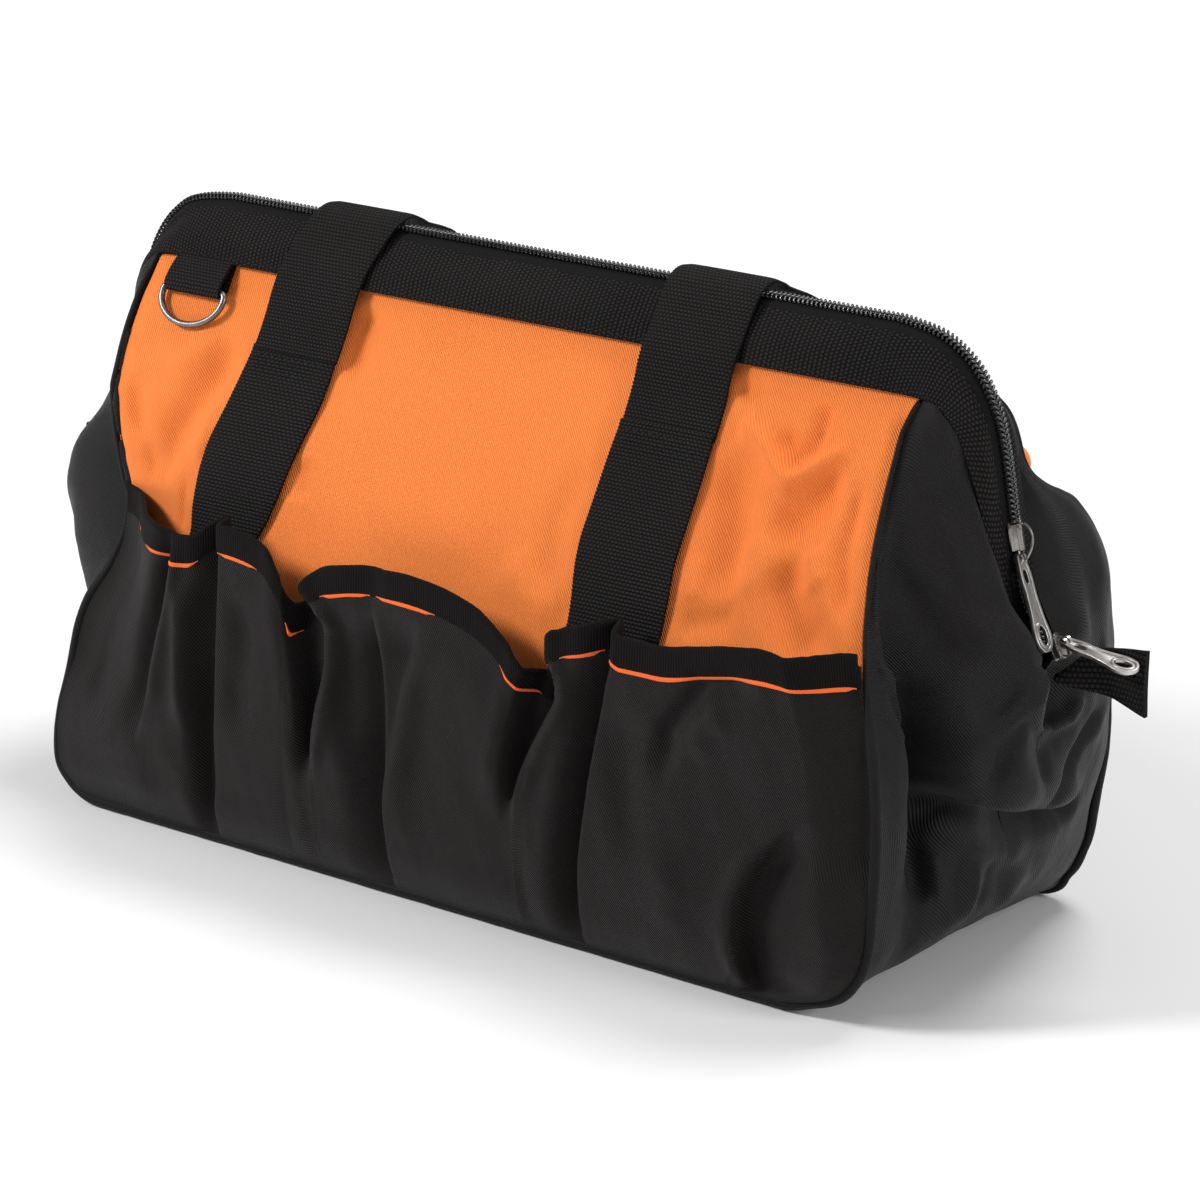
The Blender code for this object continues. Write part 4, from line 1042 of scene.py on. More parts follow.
def seam_row(rows, col, right, side):
    """Puts the seam column of the control rows on the wall's own end."""
    rows = [list(r) for r in rows]
    qs = np.linspace(0, 238, 2000)
    s = np.full(qs.shape, 200.0 if right else -200.0)
    P = wall(s, qs, -2.4, side, folds=False)
    for r in rows:
        z = r[col][2]
        i = int(np.argmin(abs(P[:, 2] - max(z, 1.2))))
        p = P[i]
        r[col] = (p[0] + (0.5 if right else -0.5), p[1], max(p[2], 1.0))
    return rows


RIM = [(-13, 130), (-13, 116), (-6, 103), (2, 97.5), (10, 96), (19, 99), (25, 108)]
RIGHT_FOLDS = (
    ([(-45, 128), (-40, 102), (-38, 80)], 3.8, -3.4, .2),
    ([(-40, 84), (-32, 72), (-8, 64), (18, 57), (44, 56)], 4.4, -8.6, .12),
    ([(-34, 112), (-29, 88), (-8, 77), (20, 68), (42, 64)], 8, 4.4, .2),
    ([(-38, 74), (-37, 56), (-38, 36)], 3.8, -4.4, .25), ([(-28, 58), (-8, 51), (18, 44)], 5.5, 2.4, .3),
    ([(-31, 60), (-32, 34)], 3.0, 2.0, .3), ([(-24, 56), (-26, 28)], 2.8, -1.8, .3),
    ([(-17, 52), (-19, 24)], 3.0, 1.6, .3), ([(-8, 50), (-10, 26)], 3.0, -1.4, .3),
    ([(41, 99), (25, 82), (7, 66)], 3.4, -4.2, .2),
    ([(50, 104), (34, 82)], 7, 1.8, .3), ([(-40, 172), (-37, 150), (-32, 128)], 4.5, -2.4, .3),
    ([(-22, 190), (-22, 172), (-22, 150)], 4.5, 1.6, .3), ([(-8, 48), (-30, 27)], 6, 2.0, .3),
    ([(-58, 136), (-52, 122), (-48, 104)], 2.0, 2.4, .2), ([(-56, 124), (-53, 106)], 1.8, -2.2, .25),
    ([(-62, 120), (-56, 104)], 2.4, 1.4, .25), (RIM, 2.4, 3.6, .1), ([(8, 116), (8, 110)], 3.6, 3.0, .4),
    ([(-13, 110), (-22, 96), (-26, 82)], 3.4, -2.4, .25), ([(3, 94), (0, 78)], 3.4, -2.0, .3),
    ([(-18, 126), (-28, 108)], 3.0, -1.6, .3), ([(24, 120), (38, 122)], 5, -1.8, .3),
    ([(36, 160), (30, 138), (30, 120)], 6, -1.6, .3), ([(20, 40), (4, 24)], 7, 1.6, .3))
LEFT_FOLDS = (
    ([(-50, 128), (-45, 104), (-46, 74), (-30, 58)], 6, -3.4, .25), (RIM, 3.0, 2.2, .1),
    ([(-22, 112), (-18, 84), (-26, 56)], 6.5, -2.4, .3), ([(42, 128), (34, 100), (42, 66)], 7, -2.6, .3),
    ([(-34, 90), (-4, 84), (22, 92)], 12, 2.0, .3), ([(-40, 168), (-38, 148)], 5, -1.8, .3),
    ([(6, 58), (30, 48)], 7, -2.2, .3))


def gusset(name, rows, us, right, side, nodes, k, seam_col):
    rows = seam_row(rows, seam_col, right, side)
    G = control_grid(rows, us, 92, 190)
    # the seam follows the wall's end exactly, and the cloth beside it comes along
    qs = np.linspace(0, 238, 4000)
    E = wall(np.full(qs.shape, 200.0 if right else -200.0), qs, -2.4, side, folds=False)
    order = np.argsort(E[:, 2])
    zs = np.maximum(G[:, seam_col, 2], 1.0)
    exact = np.stack([np.interp(zs, E[order, 2], E[order, c]) for c in range(3)], 1)
    exact[:, 0] += 0.5 if right else -0.5
    uu = np.linspace(0, 1, G.shape[1])
    near = 1 - smooth((uu if seam_col == 0 else 1 - uu) / .16)
    G = G + (exact - G[:, seam_col])[:, None, :] * near[None, :, None]
    G[..., 2] = np.maximum(G[..., 2], 0.7)
    uv = uv_of(G)
    sgn = 1 if right else -1
    N = grid_normals(G)
    if N[..., 0].mean() * sgn < 0:
        N = -N
    Y, Z = G[..., 1], G[..., 2]
    inner = smooth(np.linspace(0, 1, G.shape[1]) / .12) * smooth((1 - np.linspace(0, 1, G.shape[1])) / .12)
    lo = smooth((Z - 4) / 25)
    hi = smooth((214 - Z) / 30)
    w = (1.1 * noise2(Y / 26, Z / 42, k) + 0.6 * noise2(Y / 12 + Z / 80, Z / 22, k + 1)
         + 0.18 * noise2(Y / 4.5, Z / 7.5, k + 2)) * lo * hi * inner[None, :]
    u = np.linspace(0, 1, G.shape[1])[None, :]
    off = smooth(u / .13) if side == FRONT else smooth((1 - u) / .13)
    for line, wid, amp, fd in (RIGHT_FOLDS if right else LEFT_FOLDS):
        w = w + crease(Y, Z, line, wid, amp, fd) * off
    G = G + N * w[..., None]
    G[..., 2] = np.maximum(G[..., 2], 0.7)
    ob = shell(name, G, 1.8, SIDE, (sgn, 0, 0), uv, sharp=75)
    soft(ob, side, *nodes, slot="black_cloth")
    return G


def base():
    x = np.concatenate([np.linspace(-176, 160, 90)])
    y = np.linspace(-74.6, 74.6, 44)
    X, Y = np.meshgrid(x, y)
    k = smooth((Y + 74.6) / 149.2)
    X = np.where(X < -140, -140 + (X + 140) * (1 - .62 * k), X)
    X = np.where(X > 140, 140 + (X - 140) * .7, X)
    X = X + 11 * smooth(Y / 75) * smooth((X - 90) / 64)
    Z = 0.25 + 0.18 * (noise2(X / 30, Y / 26, 71) + 1)
    Z = Z + 2.2 * smooth((X - 146) / 14) ** 2 + 2.2 * smooth((-X - 160) / 16) ** 2
    P = np.stack([X, Y, Z], 2)
    ob = shell("base_panel_cloth", P, 1.9, SIDE, (0, 0, -1), np.stack([X, Y], 2))
    V = np.array([v.co[:] for v in ob.data.vertices])
    if V[:, 2].max() < 0.001:
        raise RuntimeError("the base sheet lies below the floor")
    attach(ob, "root")
    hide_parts("base_panel")


# ============================ band, tape, coil ================================
ZR = [(0, 243), (75, 243), (150, 243), (160, 242.9), (176, 240), (186.5, 234.2), (194, 226.5),
      (200.2, 215), (203.7, 203), (206.2, 190), (208.7, 176), (214.5, 150), (225, 131.2)]
ER = [(0, -17.7, 220.9), (75, -17.7, 220.9), (150, -17.7, 220.9), (160, -17.7, 220.9),
      (173, -17.7, 220.9), (181, -17.4, 220.2), (187, -16.8, 217.2), (192.3, -16.2, 211.6),
      (196.5, -15.4, 203.2), (200.5, -14.5, 191.5), (204.8, -13.3, 176.5), (211.8, -11.8, 150.5),
      (222.8, -6.5, 130.6)]
ZL = [(0, 243), (-75, 243.2), (-150, 243.6), (-168, 243.4), (-187, 240.3), (-197, 234.3),
      (-204.5, 226.5), (-210.5, 216.5), (-214, 206), (-216.5, 192), (-218.5, 176), (-221.5, 152),
      (-227, 131.2)]
EL = [(0, -17.7, 220.9), (-75, -17.7, 220.9), (-150, -17.7, 221), (-168, -17.7, 221),
      (-184, -17.6, 221), (-193, -17.3, 220.2), (-198.5, -16.8, 217.5), (-203, -16.2, 212),
      (-206.5, -15.5, 204.6), (-210, -14.5, 192), (-213, -13.4, 176.5), (-217.8, -11.8, 152),
      (-224.5, -6.5, 130.9)]


def zip_run(step=1.0):
    """Path of the zip from its right lower end over the top to the left one, with
    the band's outer edge beside it, the length, and how far along each end's leg."""
    def half(Z, E):
        k = np.arange(len(Z), dtype=float)
        f = np.linspace(0, k[-1], 1400)
        c = curve(k, np.asarray(Z, float), f, limit=False)
        e = curve(k, np.asarray(E, float), f, limit=False)
        return c, e
    cr, er = half(ZR, ER)
    cl, el = half(ZL, EL)
    C = np.concatenate([cr[::-1], cl[1:]])
    E = np.concatenate([er[::-1], el[1:]])
    d = np.r_[0, np.cumsum(np.linalg.norm(np.diff(C, axis=0), axis=1))]
    n = int(d[-1] / step) + 1
    t = np.linspace(0, d[-1], n)
    C = np.stack([np.interp(t, d, C[:, k]) for k in range(2)], 1)
    E = np.stack([np.interp(t, d, E[:, k]) for k in range(3)], 1)
    T = unit(np.gradient(C, axis=0))
    N = np.stack([-T[:, 1], T[:, 0]], 1)          # outward, in the XZ plane
    if N[len(N) // 2, 1] < 0:
        N = -N
    return C, E, N, t, d[-1]


CZ, EZ, NZ, TZ, LZ = zip_run()
UP = smooth((NZ[:, 1] - 0.15) / 0.7)               # 1 on the top run, 0 on the legs
GAPW = np.where(CZ[:, 0] > 0, bump(CZ[:, 1], 150.5, 15.5) * (CZ[:, 1] < 170), 0.0) * 1.6


def lift3(C, N, o, y):
    """Points off the zip's path: o outward, y across."""
    o = np.broadcast_to(o, (len(C),))
    y = np.broadcast_to(y, (len(C),))
    return np.stack([C[:, 0] + N[:, 0] * o, y, C[:, 1] + N[:, 1] * o], 1)


def band(side):
    u = UP
    kb = (u if side == BACK else 0 * u) * smooth(CZ[:, 0] / 40)
    tape_in = lift3(CZ, NZ, -0.7, -(2.2 + GAPW))
    tape_mid = lift3(CZ, NZ, -1.3 - 0.6 * u, -(4.7 + GAPW))
    tape_out = lift3(CZ, NZ, -1.7 - 2.1 * u, -(6.4 + .1 * u - 1.5 * kb + GAPW * .6))
    start = lift3(CZ, NZ, -1.2 - 1.9 * u, -(5.9 - 1.3 * kb + GAPW * .7))
    sh1 = lift3(CZ, NZ, -1.5 - 4.6 * u, -(8.3 + .3 * u - 2.7 * kb + GAPW * .3))
    # tape: from the coil to just under the band
    cross = np.array([0.0, .5, 1.0])
    Ctl = np.stack([tape_in, tape_mid, tape_out], 1)
    v = np.linspace(0, 1, 7)
    P = np.stack([curve(cross, Ctl[i], v, limit=False) for i in range(len(CZ))])
    P = P.transpose(1, 0, 2)
    if side == BACK:
        P = P * np.array([1, -1, 1])
    uvt = np.stack(np.broadcast_arrays(TZ[None, :], np.linspace(0, 4, 7)[:, None]), 2)
    ob = shell(WORD[side] + "_zip_tape_cloth", P, 0.8, TAPE, (0, side * .3, 1), uvt, sharp=60)
    soft(ob, side, WORD[side] + "_zip_tape", slot="black_tape")
    # band: a folded sleeve over the frame wire
    Ev = EZ.copy()
    wob = 0.5 * noise2(TZ / 33, 0 * TZ, 15) + 0.2 * noise2(TZ / 9, 0 * TZ, 16)
    mid = (sh1 + Ev) / 2 + np.stack([NZ[:, 0] * .5, -0.5 - .6 * u + 0 * u, NZ[:, 1] * .5], 1)
    dirn = unit(Ev - sh1)
    e_out = Ev + np.stack([0 * u, -0.2 + 0 * u, 0 * u], 1)
    Ctl = np.stack([start, sh1, mid, e_out], 1)
    L1 = np.linalg.norm(sh1 - start, axis=1)
    L2 = np.linalg.norm(mid - sh1, axis=1)
    L3 = np.linalg.norm(e_out - mid, axis=1)
    tot = L1 + L2 + L3
    v = np.linspace(0, 1, 15)
    outer, inner, vv = [], [], []
    for i in range(len(CZ)):
        xs = np.array([0, L1[i], L1[i] + L2[i], tot[i]])
        row = curve(xs, Ctl[i], v * tot[i], limit=False)
        outer.append(row)
        vv.append(v * tot[i])
    O = np.stack(outer)                       # (n, 15, 3)
    vv = np.stack(vv)
    Nn = grid_normals(O)
    if Nn[len(O) // 2, 7, 1] > 0:
        Nn = -Nn
    soft_in = np.sin(v * math.pi)[None, :]
    O = O + Nn * (0.55 * noise2(TZ[:, None] / 24, vv / 12, 17) * soft_in
                  + 0.2 * noise2(TZ[:, None] / 7, vv / 9, 18) * soft_in
                  + wob[:, None] * .25 * soft_in)[..., None]
    depth = (2.6 + 4.6 * u - 2.2 * kb)[:, None] * np.sin(np.clip(v * 1.25 + .12, 0, 1) * math.pi / 2)[None, :]
    I = O - Nn * depth[..., None]
    R = np.concatenate([O, I[:, ::-1]], 1)
    UV = np.concatenate([np.stack([np.broadcast_to(TZ[:, None], vv.shape), vv], 2),
                         np.stack([np.broadcast_to(TZ[:, None], vv.shape), vv + 40], 2)[:, ::-1]], 1)
    if side == BACK:
        R = R * np.array([1, -1, 1])
        O = O * np.array([1, -1, 1])
        Nn = Nn * np.array([1, -1, 1])
    ob = loft(WORD[side] + "_top_band_sleeve", R, BAND, UV, sharp=60)
    soft(ob, side, WORD[side] + "_top_band", slot="black_tape")
    # the frame wire runs down the middle of the sleeve
    mid_w = (O[:, 8] - Nn[:, 8] * (depth[:, 8] * .5)[:, None] * (1 if side == FRONT else 1))
    wire = mid_w[CZ[:, 1] > 160][::3]
    ob = tube(WORD[side] + "_frame_wire_rod", wire, 0.7, STEEL, 10, up=(0, 1, 0))
    soft(ob, side, WORD[side] + "_frame_wire", slot="grey_metal")
    # stitching just inside the band's lower edge
    on = (UP > 0.5)
    k = 13
    st = stitches(WORD[side] + "_top_band_stitching", O[on][:, k], Nn[on][:, k], THREAD, 2.4, 1.0, .17)
    soft(st, side, slot="black_tape")
    st = stitches(WORD[side] + "_zip_stitching", O[:, 1], Nn[:, 1], THREAD, 2.2, .9, .14)
    soft(st, side, slot="black_tape")
    return O, Nn


def coil(side):
    pitch = 2.0
    keep = (CZ[:, 1] > 132.4)
    C, N, T, G = CZ[keep], NZ[keep], TZ[keep], GAPW[keep]
    turns = (T[-1] - T[0]) / pitch
    n = int(turns * 11)
    ph = np.linspace(0, turns * 2 * math.pi, n)
    t = T[0] + ph / (2 * math.pi) * pitch + 0.28 * np.sin(ph * 2)
    t = np.clip(t, T[0], T[-1])
    if side == BACK:
        ph = ph + math.pi
    c = np.stack([np.interp(t, T, C[:, k]) for k in range(2)], 1)
    m = unit(np.stack([np.interp(t, T, N[:, k]) for k in range(2)], 1))
    g = np.interp(t, T, G)
    o = 0.35 + 1.10 * np.cos(ph)
    y = -(1.32 + g + 1.25 * np.sin(ph))
    p = np.stack([c[:, 0] + m[:, 0] * o, y * (1 if side == FRONT else -1), c[:, 1] + m[:, 1] * o], 1)
    Tn = unit(np.gradient(p, axis=0))
    ref = np.stack([m[:, 0], 0 * o, m[:, 1]], 1)
    A = unit(np.cross(Tn, ref))
    B = np.cross(A, Tn)
    a = np.arange(6) * math.pi / 3
    r = 0.54 + 0.12 * np.maximum(np.sin(ph + math.pi), 0)
    R = p[:, None] + r[:, None, None] * (np.cos(a)[None, :, None] * A[:, None]
                                         + np.sin(a)[None, :, None] * B[:, None])
    ob = loft(WORD[side] + "_zip_coil_wire", R, COIL, sharp=60)
    soft(ob, side, WORD[side] + "_zip_coil", slot="black_coil")


# ============================ webbing =========================================
def web_section(n=15):
    """Across a webbing: offsets -1..1 and a slightly rounded thickness."""
    x = np.linspace(-1, 1, n)
    return x, 1.2 * (1 - 0.55 * np.abs(x) ** 14)


def ribbon(name, centre, across, normal, width, mat, uv0=0.0, lipscale=1.0, t=None):
    """Closed webbing along a path with given across and normal vectors."""
    x, th = web_section()
    if t is None:
        t = np.r_[0, np.cumsum(np.linalg.norm(np.diff(centre, axis=0), axis=1))]
    width = np.broadcast_to(width, (len(centre),))
    edge_w = width / 2 + 0.22 * np.sin(2 * math.pi * t / 1.45)
    O = (centre[:, None] + x[None, :, None] * edge_w[:, None, None] * across[:, None]
         + th[None, :, None] * normal[:, None])
    I = (centre[:, None] + x[None, :, None] * edge_w[:, None, None] * across[:, None]
         - th[None, :, None] * normal[:, None])
    R = np.concatenate([O, I[:, ::-1]], 1)
    U = np.broadcast_to((x * width[0] / 2)[None, :], (len(centre), len(x)))
    Vv = np.broadcast_to((t + uv0)[:, None], U.shape)
    UV = np.concatenate([np.stack([U, Vv], 2), np.stack([U + 60, Vv], 2)[:, ::-1]], 1)
    return loft(name, R, mat, UV, sharp=60)


def strap(side, i):
    """The sewn length of a strap, from inside the pocket up the wall."""
    x = STRAP_X[i]
    q1 = 207.0
    q = np.linspace(84, q1, 260)
    if side == FRONT:
        dx = (curve([84, 130, 162, 190, 215], [-6, -6, -7, -2.6, 0], q) if i == 0
              else curve([84, 128, 162, 190, 215], [3.4, 3.4, -.6, -.6, 0], q))
        wide = (curve([84, 126, 138, 152, 168, 185, 207], [33, 33, 39, 43.5, 45, 45, 42.7], q) if i == 0
                else curve([84, 128, 150, 185, 207], [41, 42, 44, 44, 42.7], q))
    else:
        dx = curve([84, 150, 207], [2, -1, 0], q)
        wide = 41.0 + 0 * q
    w = 1.75 + 0.8 * bump(q, 150, 30)
    s = x + dx
    P = wall(s, q, w, side)
    n = wall_normal(q, side)
    # the webbing spans the cloth's small folds
    smoothed = np.stack([np.convolve(np.pad(P[:, c], 12, mode="edge"), np.ones(25) / 25, "valid")
                         for c in range(3)], 1)
    P[:, 1] = smoothed[:, 1]
    slope = np.gradient(P[:, 0], q)
    across = unit(np.stack([np.ones_like(q), 0 * q, 0 * q], 1))
    tw = 0.012 * noise2(q / 40, 0 * q, 21 + i)
    across = unit(across + n * tw[:, None])
    name = "%s_strap_%s" % (WORD[side], ("left", "right")[i])
    ob = ribbon(name + "_webbing", P, across, n, wide, WEB, t=q)
    soft(ob, side, name, slot="black_webbing")
    # rows of stitches that hold the strap to the wall
    for k, qq in enumerate((196.5, 199.5, 202.5)):
        xx = np.linspace(-18.5, 18.5, 40)
        i0 = int(np.argmin(abs(q - qq)))
        pp = P[i0] + np.stack([xx, 0 * xx, 0 * xx], 1) + n[i0] * 1.15
        pp = pp + np.array([0, 0, 1.0]) * (0.25 * noise2(xx / 8, 0 * xx, 51 + k))[:, None]
        st = stitches("%s_stitching_%d" % (name, k), pp, np.tile(n[i0], (40, 1)), THREAD, 2.6, .9, .24)
        soft(st, side, slot="black_webbing")
    return P, q


def handle(side, prof, reach, lean):
    """A loop of webbing: two legs over the profile, joined by a U behind."""
    prof = np.asarray(prof, float)
    fine, L = resample(prof, step=0.5)
    ny = np.gradient(fine, axis=0)
    ny = unit(ny)
    nrm = np.stack([-ny[:, 1], ny[:, 0]], 1)          # turned outward in YZ
    if side == BACK:
        pass
    total = reach
    xa, xb = STRAP_X
    o, c = 21.3, 51.0
    st = []
    for l in np.linspace(0, total - c, 190):
        st.append((xa + o, l, xa - o, l, l))
    ri = c - 2 * o
    for k in range(1, 41):
        a = math.pi / 2 * k / 40
        cx, cl = xa - o + c, total - c
        st.append((cx - ri * math.cos(a), cl + ri * math.sin(a),
                   cx - c * math.cos(a), cl + c * math.sin(a), total - c + a * (c - o)))
    end = st[-1]
    span = (xb + xa) / 2 - end[0]
    mid = []
    for f in np.linspace(0, 1, 60)[1:]:
        mid.append((end[0] + span * f, end[1], end[2] + span * f, end[3], end[4] + span * f))
    half = st + mid
    tot = half[-1][4]
    other = [(xa + xb - a, b, xa + xb - cc, d, 2 * tot - e) for a, b, cc, d, e in reversed(half[:-1])]
    S = np.array(half + other)
    x, th = web_section()
    n = len(S)
    f = (x + 1) / 2
    X = S[:, 0][:, None] * f + S[:, 2][:, None] * (1 - f)
    Lc = S[:, 1][:, None] * f + S[:, 3][:, None] * (1 - f)
    t = S[:, 4]
    # the webbing is not quite flat: small waves where it hangs free
    free = smooth((Lc - 62) / 40)
    wave = free * (1.6 * noise2(t[:, None] / 60 + X / 200, x[None, :] / 1.2, 33 + side)
                   + 0.7 * noise2(t[:, None] / 25, x[None, :] / 1.4 + 3, 35 + side))
    turn = bump(t, total - c + 40, 55) + bump(t, 2 * tot - (total - c + 40), 55)
    wave = wave + free * turn[:, None] * 2.2 * np.sin(x * 2.4)[None, :]
    Ly = np.clip(Lc, 0, L[-1])
    py = np.interp(Ly, L, fine[:, 0])
    pz = np.interp(Ly, L, fine[:, 1])
    wy = np.interp(Ly, L, nrm[:, 0])
    wz = np.interp(Ly, L, nrm[:, 1])
    if wz[n // 2].mean() < 0:
        wy, wz = -wy, -wz
    edge_l = 0.2 * np.sin(2 * math.pi * t / 1.45)[:, None] * np.sign(x)[None, :] * (np.abs(x) > .95)
    ls, d0, d1 = lean
    dxs = np.where(X < (xa + xb) / 2, curve(ls, d0, Lc), curve(ls, d1, Lc))

    def face(h):
        hh = wave + h
        return np.stack([X + dxs - edge_l, py + wy * hh, pz + wz * hh], 2)
    O, I = face(th[None, :]), face(-th[None, :])
    R = np.concatenate([O, I[:, ::-1]], 1)
    U = np.broadcast_to((x * 21.3)[None, :], X.shape)
    Vv = np.broadcast_to((t + 207)[:, None], X.shape)
    UV = np.concatenate([np.stack([U, Vv], 2), np.stack([U + 60, Vv], 2)[:, ::-1]], 1)
    w = WORD[side]
    ob = loft(w + "_handle_webbing", R, WEB, UV, sharp=60)
    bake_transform(ob)
    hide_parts(w + "_handle")


# ============================ rings and loops =================================
def d_ring(side):
    x0 = -167.0 if side == FRONT else 167.0
    a = np.linspace(0, math.pi, 41)
    pts = [(-16.4 * math.cos(k), -3.2 - 12.0 * math.sin(k)) for k in a]
    left = [(-16.4, -3.2), (-16.4, -2.0), (-15.7, -0.7), (-14.2, 0.0)]
    bar = [(k, 0.0) for k in np.linspace(-12, 12, 9)]
    right = [(14.2, 0.0), (15.7, -0.7), (16.4, -2.0)]
    loop = left + bar + right + [(p[0] * -1, p[1]) for p in pts[:-1]]
    loop = np.array(loop)
    n = len(loop)
    L = np.vstack([loop, loop[:1]])
    d = np.r_[0, np.cumsum(np.linalg.norm(np.diff(L, axis=0), axis=1))]
    t = np.linspace(0, d[-1], 121)[:-1]
    P = np.stack([np.interp(t, d, L[:, k]) for k in range(2)], 1)
    k = np.array([.25, .5, .25])
    P = np.stack([np.convolve(np.r_[P[-1:, c], P[:, c], P[:1, c]], k, "valid") for c in range(2)], 1)
    tt = 111.4 + P[:, 1]
    w = 3.4 + 0.02 * P[:, 1]
    y = -77 + tt * SIN - w * COS
    z = 112 + tt * COS + w * SIN
    path = np.stack([x0 + P[:, 0], y * (1 if side == FRONT else -1), z], 1)
    T = unit(np.roll(path, -1, 0) - np.roll(path, 1, 0))
    nn = np.array([0, -COS if side == FRONT else COS, SIN])
    B = unit(np.cross(T, nn))
    a = np.arange(14) * 2 * math.pi / 14
    R = path[:, None] + 1.35 * (np.cos(a)[None, :, None] * nn[None, None]
                                + np.sin(a)[None, :, None] * B[:, None])
    w_ = WORD[side]
    ob = loft(w_ + "_d_ring_wire", R, STEEL, closed=True)
    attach(ob, w_ + "_d_ring")
    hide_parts(w_ + "_d_ring")


def ring_loop(side):
    """Webbing tab folded round the ring's bar and sewn under the band."""
    x0 = -167.0 if side == FRONT else 167.0
    c = [(127.5, 1.9), (125.3, 2.2), (123.2, 2.9), (120.4, 4.0), (117.2, 4.9), (114.2, 5.5), (111.8, 5.6),
         (110.0, 4.9), (109.4, 3.4), (110.0, 2.1), (111.8, 1.2), (115.0, 1.1), (119.5, 1.0), (124.5, 0.9)]
    c = np.array(c, float)
    fine, t = resample(c, step=0.6)
    T = unit(np.gradient(fine, axis=0))
    N = np.stack([T[:, 1], -T[:, 0]], 1)
    th = 0.72
    xs = np.linspace(-1, 1, 13)
    half = 14.6 + 0.15 * np.sin(2 * math.pi * t / 1.45)

    def face(sg):
        tt = fine[:, 0] + N[:, 0] * th * sg
        ww = fine[:, 1] + N[:, 1] * th * sg
        y = -77 + tt * SIN - ww * COS
        z = 112 + tt * COS + ww * SIN
        return np.stack([x0 + xs[None, :] * half[:, None],
                         np.broadcast_to((y if side == FRONT else -y)[:, None], (len(t), 13)),
                         np.broadcast_to(z[:, None], (len(t), 13))], 2)
    R = np.concatenate([face(1), face(-1)[:, ::-1]], 1)
    U = np.broadcast_to((xs * 14.5)[None, :], (len(t), 13))
    V = np.broadcast_to(t[:, None], U.shape)
    UV = np.concatenate([np.stack([U, V], 2), np.stack([U + 40, V], 2)[:, ::-1]], 1)
    w_ = WORD[side]
    ob = loft(w_ + "_ring_loop_webbing", R, WEB, UV, sharp=60)
    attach(ob, w_ + "_wall")
    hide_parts(w_ + "_ring_loop")


# ============================ sliders and pulls ===============================
def axes(origin, ex, ey, ez):
    M = np.eye(4)
    M[:3, 0], M[:3, 1], M[:3, 2], M[:3, 3] = ex, ey, ez, origin
    return M


def slider(name, centre, axis, y_mid, turn, size=1.0):
    """Top and bottom plates, side flanges, the bridge between them and the bail wire."""
    ax = np.array([axis[0], 0, axis[2]])
    out0 = np.array([axis[2], 0, -axis[0]])
    k = math.radians(turn)
    out = out0 * math.cos(k) + np.array([0, math.sin(k), 0])
    yy = np.array([0, math.cos(k), 0]) - out0 * math.sin(k)
    c = np.array([centre[0], y_mid, centre[1]])
    parts = []
    body = rounded([(-5.8, -2.4), (-2.2, -3.6), (3.6, -3.9), (5.9, -2.6), (6.3, 0), (5.9, 2.6),
                    (3.6, 3.9), (-2.2, 3.6), (-5.8, 2.4)], 1.6)
    o3 = np.cross(ax, yy)
    for o, sc, th in ((2.0, 0.96, 1.0), (-2.0, 0.92, 0.9)):
        parts.append(plate(name, [(a * sc, b * sc) for a, b in body], [], th, .25,
                           axes(c + out * o, ax, yy, o3), None))
    for sg in (-1, 1):
        fl = rounded([(-5.0, -.4), (3.8, -.4), (3.8, .4), (-5.0, .4)], .35)
        for oo in (1.35, -1.4):
            parts.append(plate(name, fl, [], 1.3, .2, axes(c + out * oo + yy * sg * 3.3, ax, yy, o3),
                               None))
    near = rounded([(-4.6, -1.9), (4.4, -1.9), (4.4, 1.9), (-4.6, 1.9)], .8)
    parts.append(plate(name, near, [], .9, .25, axes(c - yy * 3.25, ax, out, np.cross(ax, out)), None))
    # bridge at the slider's mouth
    br = rounded([(3.8, -1.0), (6.0, -1.0), (6.0, 1.0), (3.8, 1.0)], .5)
    parts.append(plate(name, br, [], 4.6, .3, axes(c + out * .1, ax, yy, o3), None))
    # bail wire that holds the pull
    if name == "slider_upper":
        bail = [(3.4, 2.0), (4.3, 3.6), (3.2, 5.6), (.4, 6.9), (-3.4, 7.1), (-6.4, 6.0), (-8.4, 4.0),
                (-7.8, 2.4), (-6.0, 1.6), (-4.4, 1.6)]
    else:
        bail = [(4.2, 1.8), (4.0, 3.6), (2.6, 5.3), (.4, 6.1), (-2.2, 6.6), (-4.4, 6.2), (-5.2, 4.6),
                (-4.4, 2.0)]
    lean = 2.4 if name == "slider_upper" else 0.4
    path = np.array([c + ax * a + out0 * o - np.array([0, lean, 0]) * smooth((1 - a) / 8) for a, o in bail])
    path, _ = resample(path, 40)
    parts.append(ring_part(tube_rings(path, .5, 10)))
    parts = [(c + (v - c) * size, f, u) for v, f, u in parts]
    ob = merged(name + "_body", parts, GUND, 35)
    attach(ob, name)
    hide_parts(name)


